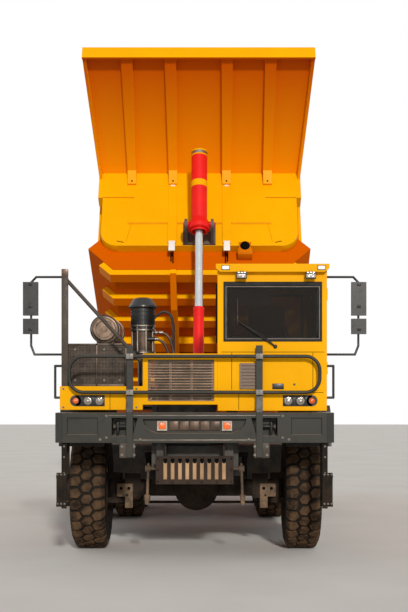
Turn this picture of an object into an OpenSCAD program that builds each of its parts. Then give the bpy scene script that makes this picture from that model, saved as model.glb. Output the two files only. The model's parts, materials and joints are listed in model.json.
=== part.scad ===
// Wide-body mining dump truck with an offset cab, a raised bed and a front telescopic hoist.
// Millimetres, Z up, the truck faces -Y and the cab is on its +X side.
// Places along the truck are given as distances behind the front axle unless a comment says otherwise.

/* [Layout] */
// Front axle's place along Y, measured from the middle of the whole truck
front_axle_y = -3230; // [-3300:5:-3150]
// Front axle to the first rear axle
wheelbase = 3900; // [3850:10:4100]
// First rear axle to the second
tandem_spread = 1620; // [1580:10:1700]
// Front axle to the bed's hinge pin
hinge_back = 6500; // [6450:10:6600]
// Height of the bed's hinge pin
hinge_z = 1450; // [1440:5:1500]
// Angle at which the bed stands, in degrees
bed_angle = 30; // [24:1:34]

/* [Wheels] */
// Outer diameter of a tyre over its lugs
tyre_d = 1490; // [1460:5:1500]
// Section width of a tyre
tyre_w = 440; // [400:5:450]
// Depth of the tread
tread_h = 26; // [20:1:30]
// Lugs along each shoulder
lug_count = 16; // [14:1:20]
// Diameter of the rim's seat
rim_d = 635; // [620:5:650]
// Half of the front track
front_track_half = 1300; // [1290:5:1340]
// Half of the rear track, to the middle of a twin pair
rear_track_half = 1335; // [1330:5:1380]
// Spacing of the two tyres of a twin pair
twin_spacing = 490; // [480:5:520]
// Half the distance between the two kingpins
kingpin_half = 1000; // [980:5:1010]

/* [Frame] */
// Outer face of each frame rail from the middle plane
rail_x = 440; // [420:5:450]
// Flange width of a rail
rail_flange = 100; // [80:5:110]
// Bottom of the rails
rail_z0 = 950; // [940:5:980]
// Depth of the rails
rail_h = 380; // [340:5:385]
// Plate thickness of the rails
rail_t = 16; // [10:1:20]
// Front end of the rails, behind the front axle
rail_front = -1160; // [-1180:10:-1100]

/* [Bed] */
// Half width of the bed's flat floor
floor_half = 1285; // [1240:5:1300]
// Height of the floor's underside above the hinge pin, bed lowered
floor_h = 220; // [210:5:240]
// Half width over the box beams along the lower sides
chine_half = 1675; // [1640:5:1690]
// Height of that widest edge above the hinge pin
chine_h = 600; // [580:5:620]
// Half width over the bed's upright sides
side_half = 1500; // [1480:5:1520]
// Height of the sides' top edge above the hinge pin
side_h = 1740; // [1600:10:1800]
// Thickness of the bed's sides and floor
bed_wall = 45; // [35:1:60]
// Front face of the headboard ahead of the hinge pin
headboard_u = 4420; // [4400:5:4440]
// Thickness of the headboard
headboard_t = 160; // [140:5:170]
// Height of the headboard's lower edge above the hinge pin
headboard_h = 540; // [520:5:560]
// Top of the headboard above the hinge pin, where the canopy starts
canopy_h = 1920; // [1900:5:1950]
// Front lip of the canopy ahead of the hinge pin
lip_u = 6355; // [6250:5:6400]
// Height of the lip's top above the hinge pin
lip_h = 2627; // [2600:5:2650]
// Half width of the canopy at its lip
lip_half = 1675; // [1650:5:1690]
// Half width of the canopy at the headboard
canopy_half = 1545; // [1530:5:1560]
// Rear end of the bed behind the hinge pin
tail_back = 1150; // [1000:10:1200]
// Rise of the tail floor in degrees
tail_angle = 13; // [8:1:15]

/* [Hoist] */
// Trunnion of the hoist's cover ahead of the bed's hinge pin
trunnion_u = 4800; // [4790:5:4820]
// Height of the trunnion above the hinge pin, bed lowered
trunnion_h = 635; // [620:5:650]
// Lower eye behind the front axle
eye_back = 1500; // [1490:5:1510]
// Height of the lower eye
eye_z = 1050; // [1045:5:1060]
// Outer diameter of the hoist's cover
cover_d = 236; // [226:2:240]
// Height of the cover above its trunnion
cover_up = 1209; // [1200:1:1240]
// Outer diameter of the barrel
barrel_d = 152; // [148:1:156]
// Length of the barrel above its eye
barrel_len = 2217; // [2180:1:2220]
// Outer diameter of the chrome middle stage
stage_d = 116; // [112:1:118]

/* [Cab] */
// Inner side of the cab, towards the middle of the truck
cab_x0 = 260; // [250:5:280]
// Outer side of the cab
cab_x1 = 1500; // [1480:5:1510]
// Front face of the cab, behind the front axle
cab_y0 = -1400; // [-1410:5:-1390]
// Rear face of the cab, behind the front axle
cab_y1 = 350; // [300:10:400]
// Underside of the cab's floor
cab_z0 = 1950; // [1940:5:1960]
// Top of the cab's roof
cab_z1 = 3380; // [3360:5:3400]
// Thickness of the cab's walls and door
cab_wall = 50; // [40:1:55]

/* [Front end] */
// Half width of the bumper
bumper_half = 1580; // [1560:5:1600]
// Front face of the bumper, behind the front axle
bumper_y = -1520; // [-1530:5:-1510]
// Bottom of the bumper
bumper_z0 = 1360; // [1350:5:1380]
// Top of the bumper
bumper_z1 = 1700; // [1690:5:1710]
// Half width of the handrail loop
loop_half = 1410; // [1380:5:1430]
// Diameter of the handrail tube
loop_d = 40; // [34:1:42]

/* [Hidden] */
$fn = 48;

yellow = [0.95, 0.62, 0.02];
dark = [0.17, 0.17, 0.16];
black = [0.05, 0.05, 0.05];
red = [0.85, 0.06, 0.05];
steel = [0.62, 0.62, 0.62];
smoke = [0.15, 0.17, 0.18, 0.5];

tyre_r = tyre_d / 2;
rim_r = rim_d / 2;
axle_z = tyre_r;
rail_z1 = rail_z0 + rail_h;
rail_in = rail_x - rail_flange;
hinge_y = front_axle_y + hinge_back;
rail_rear = hinge_back + 130;
shaft_gap = 0.3;
pin_r = 45;
rear_axle_backs = [wheelbase, wheelbase + tandem_spread];
beam_x = rail_x - rail_flange / 2;
beam_w = 90;
beam_drop = rail_z1 + 20 - hinge_z;
trunnion_r = 45;
cover_down = 120;
stage_len = 2120;
stage_bore = 96;
inner_d = 88;
door_y0 = -1180;
door_y1 = 160;
door_z0 = 2010;
door_z1 = 3300;
door_hinges = [2200, 3050];
hitch_back = hinge_back + 210;
rib_end = 1430;
wing_x = 1620;
wing_h = floor_h + (wing_x - floor_half) * (chine_h - floor_h) / (chine_half - floor_half);
post_t = 70;
gusset_back = 60;
plate_t = 14;
plate_step = 1450;
rib_places = [410, 1040];
rib_foot = 132;
rib_lip = 165;
// Metal pipes at the air cleaner: place behind the front axle, height, first bend, place of the lower run
coolant_pipes = [[-540, 2650, -385, -245], [-600, 2570, -440, -310]];
fender_z = 1760;
flare_r = 165;
ear_x0 = flare_r + 7;
ear_x1 = ear_x0 + 42;
rib_depth = 130;
rib_end_h = floor_h + (rib_end - floor_half) * (chine_h - floor_h) / (chine_half - floor_half);

// Place of the trunnion with the bed as it stands, and the hoist's length and lean there
trunnion_y = hinge_back - trunnion_u * cos(bed_angle) + trunnion_h * sin(bed_angle);
trunnion_z = hinge_z + trunnion_u * sin(bed_angle) + trunnion_h * cos(bed_angle);
hoist_run = trunnion_y - eye_back;
hoist_rise = trunnion_z - eye_z;
hoist_len = sqrt(hoist_run * hoist_run + hoist_rise * hoist_rise);
hoist_lean = atan2(hoist_run, hoist_rise);

module at_axle() {
    translate([0, front_axle_y, 0]) children();
}

module both_sides() {
    children();
    mirror([1, 0, 0]) children();
}

// A straight block from a low and a high value along each axis
module block(x, y, z) {
    translate([x[0], y[0], z[0]]) cube([x[1] - x[0], y[1] - y[0], z[1] - z[0]]);
}

// A flat shape drawn in X and Z, carried from y0 back to y1
module along_y(y0, y1) {
    translate([0, y1, 0]) rotate([90, 0, 0]) linear_extrude(height = y1 - y0) children();
}

// A flat shape drawn in Y and Z, carried from x0 to x1
module along_x(x0, x1) {
    translate([x0, 0, 0]) rotate([90, 0, 90]) linear_extrude(height = x1 - x0) children();
}

module rod_x(x0, x1, y, z, r) {
    translate([x0, y, z]) rotate([0, 90, 0]) cylinder(h = x1 - x0, r = r);
}

module rod_y(x, y0, y1, z, r) {
    translate([x, y0, z]) rotate([-90, 0, 0]) cylinder(h = y1 - y0, r = r);
}

module bar_between(a, b, r) {
    v = b - a;
    translate(a)
        rotate([0, acos(v[2] / norm(v)), atan2(v[1], v[0])])
        cylinder(h = norm(v), r = r);
}

// A round tube along corner points, with a weld ball a little proud of the tube at each bend
module bent_tube(points, r) {
    for (i = [0 : len(points) - 2]) bar_between(points[i], points[i + 1], r);
    for (i = [1 : len(points) - 2]) translate(points[i]) sphere(r = r + 0.5);
}

// Frame: two channel rails with the brackets that carry the bumper
module frame() {
    color(dark) at_axle() {
        both_sides() along_y(rail_front, rail_rear) polygon([
            [rail_x, rail_z0], [rail_x, rail_z1], [rail_in, rail_z1], [rail_in, rail_z1 - rail_t],
            [rail_x - rail_t, rail_z1 - rail_t], [rail_x - rail_t, rail_z0 + rail_t],
            [rail_in, rail_z0 + rail_t], [rail_in, rail_z0]]);
        both_sides() block([rail_in, rail_x], [rail_front - 110, rail_front], [1100, bumper_z0]);
    }
}

// Cross members between the rails, the bar of the rear lamps, and the towing lug on the last of them
module cross_members() {
    color(dark) at_axle() {
        block([-760, 760], [rail_rear, rail_rear + 14], [rail_z0 + 10, rail_z0 + 90]);
        // Place behind the front axle, length along the truck
        for (member = [[-1140, 120], [1020, 90], [2300, 160], [4010, 140], [5360, 140], [6470, 160]])
            block([-rail_x + rail_t, rail_x - rail_t], [member[0], member[0] + member[1]],
                [rail_z0 + 100, rail_z1 - rail_t]);
        difference() {
            union() {
                block([-60, 60], [rail_rear, hitch_back], [1060, 1100]);
                translate([0, hitch_back, 1060]) cylinder(h = 40, r = 60);
            }
            translate([0, hitch_back, 1059]) cylinder(h = 42, r = 26);
        }
    }
}

// Hinge brackets on the rear ends of the rails, with the two hinge pins
module bed_hinge() {
    color(dark) at_axle() both_sides() {
        // Ears: inner face, lower edge
        for (ear = [[rail_in - 40, rail_z1 - rail_t], [rail_x, rail_z1 - 130]]) {
            block([ear[0], ear[0] + 40], [hinge_back - 110, hinge_back + 110], [ear[1], hinge_z]);
            rod_x(ear[0], ear[0] + 40, hinge_back, hinge_z, 110);
        }
        rod_x(rail_in - 50, rail_x + 50, hinge_back, hinge_z, pin_r);
    }
}

// Lower mount of the hoist: two cross beams and a pair of ear plates with pin caps
module hoist_mount() {
    color(dark) at_axle() {
        for (y = [eye_back - 330, eye_back + 230])
            block([-rail_x + rail_t, rail_x - rail_t], [y, y + 100], [rail_z0 + 60, rail_z0 + 230]);
        both_sides() {
            block([90, 125], [eye_back - 230, eye_back + 230], [rail_z0 + 80, eye_z + 110]);
            rod_x(125, 160, eye_back, eye_z, 70);
        }
    }
}

// Engine and gearbox as plain blocks at their real place
module engine_block() {
    color(steel) at_axle() {
        block([-300, 200], [-820, 700], [1050, 2020]);
        block([-480, 220], [-900, 480], [2020, 2330]);
        block([-200, 200], [700, 1000], [740, 1500]);
        // Feet on the rails
        for (y = [-560, 420]) block([-400, 400], [y, y + 80], [rail_z1, rail_z1 + 40]);
    }
}

module radiator() {
    color(black) at_axle() block([-430, 240], [-1150, -1000], [rail_z1, 2290]);
}

// Front axle: tube, round centre housing and an upright boss at each end
module front_axle() {
    color(dark) at_axle() {
        difference() {
            union() {
                rod_x(-kingpin_half + 40, kingpin_half - 40, 0, axle_z, 105);
                rod_y(0, -150, 150, axle_z, 270);
                both_sides() translate([kingpin_half, 0, axle_z - 110]) cylinder(h = 220, r = 85);
                both_sides() block([rail_x, rail_x + 120], [-110, 110], [axle_z, axle_z + 125]);
                // Flat plates on the tube's front beside the wheels
                both_sides() block([690, 885], [-125, -101], [axle_z - 118, axle_z + 184]);
            }
            both_sides() translate([kingpin_half, 0, axle_z - 120])
                cylinder(h = 240, r = 32 + shaft_gap);
        }
    }
}

// One leaf pack in side view: a bowed top, and below it the steps of ever shorter leaves
module leaf_pack(x, y, z, half_len, w, leaves, leaf_t, bow) {
    function half(i) = half_len * (1 - 0.13 * i);
    function rise(d) = bow * pow(d / half_len, 2);
    along_x(x - w / 2, x + w / 2) polygon(concat(
        [for (k = [-3 : 3]) [y + k * half_len / 4, z + rise(k * half_len / 4)]],
        [for (i = [0 : leaves - 1]) for (drop = [0, 1])
            [y + half(i), z - (i + drop) * leaf_t + rise(half(i))]],
        [[y, z - leaves * leaf_t]],
        [for (i = [leaves - 1 : -1 : 0]) for (drop = [1, 0])
            [y - half(i), z - (i + drop) * leaf_t + rise(half(i))]]));
}

// Front springs on the axle's pads, with hangers under the rails and upright dampers
module front_springs() {
    color(black) at_axle() both_sides() {
        leaf_pack(rail_x + 60, 0, axle_z + 185, 800, 100, 4, 15, 30);
        for (y = [-800, 740]) block([rail_x, rail_x + 120], [y, y + 60], [rail_z0, rail_z0 + 60]);
        bar_between([600, 0, axle_z + 105], [600, 0, rail_z1 - 200], 32);
        block([rail_x, 640], [-40, 40], [rail_z1 - 200, rail_z1 - 140]);
    }
}

// Rear axles: tube, round gear housing and brake drums
module rear_axles() {
    color(dark) at_axle() for (y = rear_axle_backs) {
        rod_x(-rear_track_half - 60, rear_track_half + 60, y, axle_z, 90);
        rod_x(-rear_track_half + 300, rear_track_half - 300, y, axle_z, 120);
        rod_y(0, y - 170, y + 170, axle_z, 290);
        both_sides() rod_x(rear_track_half - 520, rear_track_half - 300, y, axle_z, 205);
        both_sides() block([540, 680], [y - 50, y + 50], [axle_z, axle_z + 214]);
    }
}

// Tandem springs: a leaf pack each side over a trunnion tube between the two rear axles
module tandem_springs() {
    mid = wheelbase + tandem_spread / 2;
    color(black) at_axle() {
        both_sides() {
            leaf_pack(610, mid, axle_z + 290, tandem_spread / 2 + 60, 110, 8, 17, -60);
            block([535, 685], [mid - 110, mid + 110], [axle_z - 60, axle_z + 155]);
            block([rail_x, 500], [mid - 90, mid + 90], [axle_z - 40, rail_z0 + 150]);
            rod_x(400, 535, mid, axle_z + 20, 60);
        }
    }
}

// Propeller shafts from the gearbox to both rear axles
module propshafts() {
    color(steel) at_axle() {
        rod_y(0, 1000, wheelbase - 170, axle_z + 60, 55);
        rod_y(0, wheelbase + 170, wheelbase + tandem_spread - 170, axle_z + 60, 50);
    }
}

// Bumper: a deep box with raked ends, a long centre recess, tow windows and framed panels
module front_bumper() {
    depth = 360;
    color(dark) at_axle() difference() {
        linear_extrude_z(bumper_z0, bumper_z1) polygon([
            [-bumper_half, bumper_y + 110], [-bumper_half + 90, bumper_y], [bumper_half - 90, bumper_y],
            [bumper_half, bumper_y + 110], [bumper_half, bumper_y + depth],
            [-bumper_half, bumper_y + depth]]);
        along_y(bumper_y - 10, bumper_y + 60) polygon([
            [-580, 1630], [-560, 1560], [-500, 1500], [-420, 1470], [420, 1470], [500, 1500],
            [560, 1560], [580, 1630]]);
        both_sides() along_y(bumper_y - 10, bumper_y + 120) polygon([
            [640, 1640], [930, 1640], [930, 1440], [700, 1440]]);
        block([-bumper_half + 100, bumper_half - 100], [bumper_y + 140, bumper_y + depth + 10],
            [bumper_z0 + 25, bumper_z1 - 25]);
        // Sunk panels near the ends
        both_sides() block([1090, 1430], [bumper_y - 10, bumper_y + 12], [1455, 1640]);
    }
}

module linear_extrude_z(z0, z1) {
    translate([0, 0, z0]) linear_extrude(height = z1 - z0) children();
}

// Handrails: the long loop across the front, and grab rails at the sides
module handrails() {
    z0 = 1930;
    z1 = 2335;
    r = loop_d / 2;
    bend = 160;
    y = bumper_y + 20;
    color(dark) at_axle() {
        rod_x(-loop_half + bend, loop_half - bend, y, z0, r);
        rod_x(-loop_half + bend, loop_half - bend, y, z1, r);
        both_sides() {
            translate([loop_half, y, z0 + bend]) cylinder(h = z1 - z0 - 2 * bend, r = r);
            for (end = [[z1 - bend, 0], [z0 + bend, -90]])
                translate([loop_half - bend, y, end[0]]) rotate([90, 0, 0]) rotate([0, 0, end[1]])
                    rotate_extrude(angle = 90) translate([bend, 0]) circle(r = r);
        }
        grab_rail(cab_x1, cab_x1, cab_x1 + 75);
        grab_rail(-1510, -1530, -1585);
    }
}

// Flat posts that carry the loop, bent forward over the bumper's face
module rail_posts() {
    back = bumper_y + 20 + loop_d / 2;
    color(dark) at_axle() both_sides() along_x(692, 768) polygon([
        [back, 2460], [back, 1920], [bumper_y - 16, 1710], [bumper_y - 16, 1200],
        [bumper_y, 1200], [bumper_y, 1714], [back + 16, 1924], [back + 16, 2460]]);
}

// Grab rail: ends on its upper and lower supports, and the place of its upright
module grab_rail(x_top, x_low, x_out) {
    bent_tube([[x_top, -1370, 2230], [x_out, -1370, 2230], [x_out, -1370, 1870], [x_low, -1370, 1870]],
        14);
}

// Yellow front panels under the cab and beside the grille
module front_panels() {
    color(yellow) at_axle() {
        block([cab_x0, cab_x1], [cab_y0, cab_y0 + 60], [1720, cab_z0]);
        block([-1530, -590], [cab_y0, cab_y0 + 60], [1730, 2000]);
        difference() {
            block([-590, cab_x0], [cab_y0, cab_y0 + 60], [1790, 2370]);
            block([-530, 220], [cab_y0 - 10, cab_y0 + 70], [1830, 2300]);
        }
    }
}

module grille() {
    color(black) at_axle() {
        for (i = [0 : 14]) block([-530, 220], [cab_y0 + 12, cab_y0 + 40], [1836 + i * 31, 1846 + i * 31]);
        for (x = [-530, -290, -50, 190]) block([x, x + 30], [cab_y0 + 40, cab_y0 + 55], [1830, 2300]);
        // Louvred inlet under the windscreen
        difference() {
            block([510, 760], [cab_y0 - 24, cab_y0], [1970, 2260]);
            for (i = [0 : 6]) block([530, 740], [cab_y0 - 25, cab_y0 - 8], [1990 + i * 37, 2012 + i * 37]);
        }
    }
}

// Lamps: round front lamps, bumper flashers, roof work lamps, marker lamps and rear lamps
module lamps() {
    color("white") at_axle() {
        // Round lamps: place across the truck, radius
        for (lamp = [[-1350, 40], [-1210, 55], [-1080, 55], [1060, 55], [1200, 55], [1330, 40]])
            rod_y(lamp[0], cab_y0 - 22, cab_y0, 1835, lamp[1]);
        both_sides() block([315, 415], [bumper_y + 30, bumper_y + 60], [1505, 1600]);
        for (x = [470, 1250]) block([x, x + 120], [cab_y0 - 110, cab_y0 - 50], [3205, 3290]);
        for (x = [310, 1390]) block([x, x + 80], [cab_y0 - 98, cab_y0 - 80], [3315, 3355]);
        both_sides() block([520, 740], [rail_rear + 14, rail_rear + 64], [rail_z0 + 5, rail_z0 + 95]);
    }
}

// Slotted guard below the bumper on two hanger plates
module lower_guard() {
    color(dark) at_axle() {
        difference() {
            block([-440, 440], [-1440, -1420], [890, 1210]);
            for (i = [-4 : 4]) block([i * 83 - 21, i * 83 + 21], [-1450, -1410], [945, 1180]);
        }
        both_sides() block([rail_in - 20, rail_in], [-1420, rail_front], [1000, 1210]);
        both_sides() block([rail_in - 20, rail_in], [-1420, rail_front - 20], [1210, bumper_z0]);
    }
}

// Cab: one hollow shell with its windows and door opening cut
module cab_shell() {
    w = cab_wall;
    color(yellow) at_axle() {
        difference() {
            block([cab_x0, cab_x1], [cab_y0, cab_y1], [cab_z0, cab_z1]);
            block([cab_x0 + w, cab_x1 - w], [cab_y0 + w, cab_y1 - w], [cab_z0 + w, cab_z1 - w]);
            block([330, 1440], [cab_y0 - 1, cab_y0 + w + 1], [2510, 3180]);
            block([cab_x1 - w - 1, cab_x1 + 1], [door_y0, door_y1], [door_z0, door_z1]);
            block([cab_x0 - 1, cab_x0 + w + 1], [-1150, 150], [2560, 3180]);
            block([400, 1360], [cab_y1 - w - 1, cab_y1 + 1], [2560, 3180]);
        }
        // Lower halves of the door's two hinges
        for (z = door_hinges) {
            translate([cab_x1 + 14, door_y0 + 8, z - 60]) cylinder(h = 60 - shaft_gap, r = 14 - shaft_gap);
            block([cab_x1, cab_x1 + 14], [door_y0 - 60, door_y0 + 4], [z - 60, z - shaft_gap]);
        }
        // Sun visor over the windscreen, its lower corners cut off
        along_y(cab_y0 - 80, cab_y0) polygon([
            [cab_x0 - 20, cab_z1], [cab_x0 - 20, 3330], [cab_x0 + 30, 3290], [cab_x1 - 30, 3290],
            [cab_x1 + 20, 3330], [cab_x1 + 20, cab_z1]]);
    }
}

module cab_glass() {
    w = cab_wall;
    color(smoke) at_axle() {
        block([330, 1440], [cab_y0 + 12, cab_y0 + 20], [2510, 3180]);
        block([cab_x0 + 20, cab_x0 + 28], [-1150, 150], [2560, 3180]);
        block([400, 1360], [cab_y1 - 28, cab_y1 - 20], [2560, 3180]);
    }
}

// Inside of the cab: dashboard, seat and steering wheel
module cab_interior() {
    color(dark) at_axle() {
        block([330, 1430], [cab_y0 + cab_wall, cab_y0 + 330], [2280, 2490]);
        block([620, 1120], [-640, -120], [2250, 2400]);
        block([640, 1100], [-220, -100], [2400, 3000]);
        block([700, 1040], [-600, -200], [cab_z0 + cab_wall, 2250]);
        bar_between([870, -1090, 2440], [870, -800, 2620], 25);
        translate([870, -800, 2620]) rotate([58, 0, 0]) {
            rotate_extrude() translate([215, 0]) circle(r = 16);
            for (a = [0, 120, 240]) rotate([0, 0, a]) rod_x(0, 215, 0, 0, 12);
        }
    }
}

module wiper() {
    color(black) at_axle() {
        rod_y(915, cab_y0 - 30, cab_y0, 2450, 20);
        bar_between([915, cab_y0 - 22, 2450], [485, cab_y0 - 22, 2740], 8);
        block([475, 495], [cab_y0 - 28, cab_y0 - 12], [2680, 2980]);
    }
}

// Mirror pairs on tube arms: on the cab's corner and on the tall post beside the deck
module mirrors() {
    color(black) at_axle() {
        mirror_set(1, cab_x1);
        mirror_set(-1, 1490);
        block([-1510, -1440], [-1390, -1350], [2000, 3330]);
        bar_between([-1475, -1370, 3230], [-575, -1318, 2235], 20);
    }
}

module mirror_set(side, root_x) {
    x = side * 1860;
    bent_tube([[side * root_x, -1370, 3240], [side * 1800, -1370, 3240], [x, -1360, 3180],
        [x, -1360, 2460], [side * 1820, -1370, 2360], [side * root_x, -1370, 2360]], 13);
    block([x - 85, x + 85], [-1420, -1372], [2800, 3180]);
    block([x - 85, x + 85], [-1420, -1372], [2590, 2765]);
}

// Deck beside the engine
module deck() {
    color(dark) at_axle() block([-1530, -560], [cab_y0 + 60, cab_y1], [cab_z0, 2000]);
}

// Brackets from the frame that carry the deck and the cab
module deck_brackets() {
    color(dark) at_axle() {
        both_sides() for (y = [-1150, 260]) {
            block([rail_x, 1480], [y, y + 60], [cab_z0 - 80, cab_z0]);
            block([rail_x, rail_x + 60], [y, y + 60], [rail_z0 + 100, cab_z0 - 80]);
        }
    }
}

// Dark perforated box behind the rail, under the muffler
module side_screen() {
    color(black) at_axle() difference() {
        block([-1500, -800], [-1000, -560], [2000, 2500]);
        for (i = [0 : 6]) for (k = [0 : 4])
            block([-1460 + i * 92, -1395 + i * 92], [-1010, -985], [2040 + k * 88, 2100 + k * 88]);
    }
}

// Air cleaner: bowl cap, upper drum and canister on a short base
module air_cleaner() {
    color(black) at_axle() translate([-640, -500, 0]) {
        translate([0, 0, 2000]) cylinder(h = 330, r = 60);
        translate([0, 0, 2330]) rotate_extrude() polygon([[0, 0], [150, 0], [118, 120], [0, 120]]);
        translate([0, 0, 2450]) cylinder(h = 220, r = 128);
        for (a = [20 : 45 : 335]) rotate([0, 0, a]) translate([134, 0, 2400]) cylinder(h = 300, r = 11);
        for (z = [2400, 2670, 2720]) translate([0, 0, z]) cylinder(h = 22, r = 150);
        translate([0, 0, 2660]) cylinder(h = 290, r = 140);
        for (pipe = coolant_pipes) rod_x(20, 150, pipe[0] + 500, pipe[1], 25);
        translate([0, 0, 2950]) rotate_extrude() polygon([
            [0, 0], [170, 0], [165, 25], [110, 110], [60, 125], [0, 128]]);
    }
}

module muffler() {
    color(steel) at_axle() {
        rod_y(-1082, -730, 230, 2680, 168);
        for (y = [-760, 230]) rod_y(-1082, y, y + 30, 2680, 150);
        rod_y(-1082, 259, 420, 2680, 60);
        for (y = [-700, 100]) block([-1180, -984], [y, y + 60], [2500, 2540]);
        block([-1112, -1052], [100, 160], [2000, 2500]);
    }
}

module engine_hoses() {
    color(black) at_axle() {
        bent_tube([[-500, -500, 2830], [-440, -500, 2830], [-390, -500, 2890], [-330, -500, 2890],
            [-270, -500, 2800], [-270, -500, 2330]], 16);
        // Two metal coolant pipes down to the engine
        for (pipe = coolant_pipes)
            bent_tube([[-490, pipe[0], pipe[1]], [pipe[2], pipe[0], pipe[1]], [pipe[3], pipe[0], 2410],
                [pipe[3], pipe[0], 2330]], 17);
    }
}

// Fenders: bent plates over the front tyres on tubes and posts from the rails
module fenders() {
    color(dark) at_axle() both_sides() {
        along_x(1060, 1590) polygon([
            [-1000, 1300], [-880, 1700], [-780, fender_z], [780, fender_z], [880, 1700], [1000, 1300],
            [1020, 1304], [892, 1712], [790, fender_z + 16], [-790, fender_z + 16], [-892, 1712],
            [-1020, 1304]]);
        // Outer lip
        along_x(1574, 1590) polygon([
            [-860, 1640], [-770, fender_z - 40], [770, fender_z - 40], [860, 1640], [892, 1712],
            [790, fender_z + 16], [-790, fender_z + 16], [-892, 1712]]);
        for (y = [-700, 700]) {
            block([380, rail_x], [y - 30, y + 30], [rail_z1, fender_z + 20]);
            rod_x(rail_x, 1560, y, fender_z - 17, 20);
        }
    }
}

// Hanging steps under the bumper's ends
module side_steps() {
    color(dark) at_axle() both_sides() {
        for (y = [bumper_y + 30, bumper_y + 310]) block([1440, 1500], [y, y + 20], [620, bumper_z0]);
        for (z = [640, 960]) block([1440, 1560], [bumper_y + 30, bumper_y + 330], [z, z + 40]);
    }
}

// Fuel tank on the cab's side, oil tank and battery box on the other
module tanks() {
    color(dark) at_axle() {
        block([rail_x, 1400], [1200, 2700], [640, 1240]);
        block([-1380, -rail_x], [1200, 2100], [640, 1240]);
        block([-1300, -rail_x], [2150, 2700], [760, 1200]);
    }
}

// The bed's own frame: origin at the hinge pin, bed lowered, then tipped to its angle
module in_bed() {
    translate([0, hinge_y, hinge_z]) rotate([-bed_angle, 0, 0]) children();
}

module bed_section() {
    polygon([
        [-floor_half, floor_h], [floor_half, floor_h], [chine_half, chine_h],
        [side_half, chine_h + (chine_half - side_half)], [side_half, side_h + 400],
        [-side_half, side_h + 400], [-side_half, chine_h + (chine_half - side_half)],
        [-chine_half, chine_h]]);
}

module bed_hollow_section() {
    inner = side_half - bed_wall;
    knee = inner - 200;
    polygon([
        [-knee, floor_h + bed_wall], [knee, floor_h + bed_wall], [inner, floor_h + bed_wall + 200],
        [inner, side_h + 500], [-inner, side_h + 500], [-inner, floor_h + bed_wall + 200]]);
}

// Side view of the bed: level floor, a tail that rises from above the hinge, sides cut back at the rear
module bed_profile() {
    low = floor_h - 120;
    polygon([
        [-headboard_u + headboard_t, low], [(low - floor_h) / tan(tail_angle), low],
        [tail_back, floor_h + tail_back * tan(tail_angle)], [tail_back, 1000], [300, side_h],
        [-headboard_u + headboard_t, side_h]]);
}

// Side view of the room above the floor plates
module bed_hollow_profile() {
    low = floor_h - 120;
    lift = bed_wall / cos(tail_angle);
    polygon([
        [-headboard_u, low], [(low - floor_h - lift) / tan(tail_angle), low],
        [tail_back + 100, floor_h + lift + (tail_back + 100) * tan(tail_angle)],
        [tail_back + 100, 3000], [-headboard_u, 3000]]);
}

module bed_shell() {
    front = -headboard_u + headboard_t;
    color(yellow) in_bed() {
        difference() {
            intersection() {
                along_y(front, tail_back) bed_section();
                along_x(-2000, 2000) bed_profile();
            }
            intersection() {
                along_y(front + bed_wall, tail_back + 50) bed_hollow_section();
                along_x(-2000, 2000) bed_hollow_profile();
            }
        }
    }
}

// Outside of the bed's sides: the top rails, and the posts that stand on the lower beams
module side_posts() {
    front = -headboard_u + headboard_t;
    foot = chine_h + chine_half - side_half;
    color(yellow) in_bed() both_sides() {
        block([side_half, side_half + post_t], [front + gusset_back, 300], [side_h - 110, side_h]);
        // Posts: places of their middles ahead of the hinge pin
        for (u = [3900, 3100, 2300, 1500, 700]) along_y(-u - 60, -u + 60) polygon([
            [side_half, foot], [side_half + post_t, foot - post_t], [side_half + post_t, side_h - 100],
            [side_half, side_h - 100]]);
    }
}

// The headboard, a thick panel ahead of the box, with the gussets that close the gap to the sides
module headboard() {
    front = -headboard_u + headboard_t;
    color(yellow) in_bed() {
        headboard_panel();
        headboard_plates();
        both_sides() {
            block([side_half - 21, side_half + 52], [-headboard_u, front], [plate_step, canopy_h]);
            block([side_half, side_half + 52], [front - 1, front + gusset_back], [plate_step, canopy_h]);
        }
    }
}

// The panel itself, with rounded lower corners
module headboard_panel() {
    r = 250;
    half = side_half - 20;
    along_y(-headboard_u, -headboard_u + headboard_t) {
        translate([-half, headboard_h + r]) square([2 * half, canopy_h - headboard_h - r]);
        translate([-half + r, headboard_h]) square([2 * half - 2 * r, r + 1]);
        for (x = [-half + r, half - r]) translate([x, headboard_h + r]) circle(r = r);
    }
}

// Raised plates on the headboard's front face, in X and height, and the thickness of each
module headboard_plates() {
    front = -headboard_u;
    along_y(front - plate_t, front) {
        translate([-side_half + 20, plate_step]) square([2 * side_half - 40, canopy_h - plate_step]);
        difference() {
            translate([-1090, headboard_h + 420]) square([2180, plate_step - headboard_h - 419]);
            for (side = [-1, 1]) polygon([[side * 1000, plate_step + 10], [side * 1100, plate_step + 10],
                [side * 1100, headboard_h + 400], [side * 1085, headboard_h + 400]]);
        }
    }
    // Strips that carry the middle canopy ribs down the whole panel
    both_sides() along_y(front - 2 * plate_t, front - plate_t / 2)
        translate([rib_places[0] - rib_foot / 2, headboard_h + 30])
        square([rib_foot, canopy_h - 240 - headboard_h - 30]);
}

// Cross ribs under the floor, between and beside the two long beams
module bed_ribs() {
    rib_w = 200;
    rib_d = 90;
    color(yellow) in_bed() difference() {
        floor_ribs(rib_w, rib_d);
        both_sides() block([beam_x - beam_w / 2, beam_x + beam_w / 2], [-headboard_u, tail_back],
            [beam_drop, floor_h + 10]);
    }
}

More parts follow.
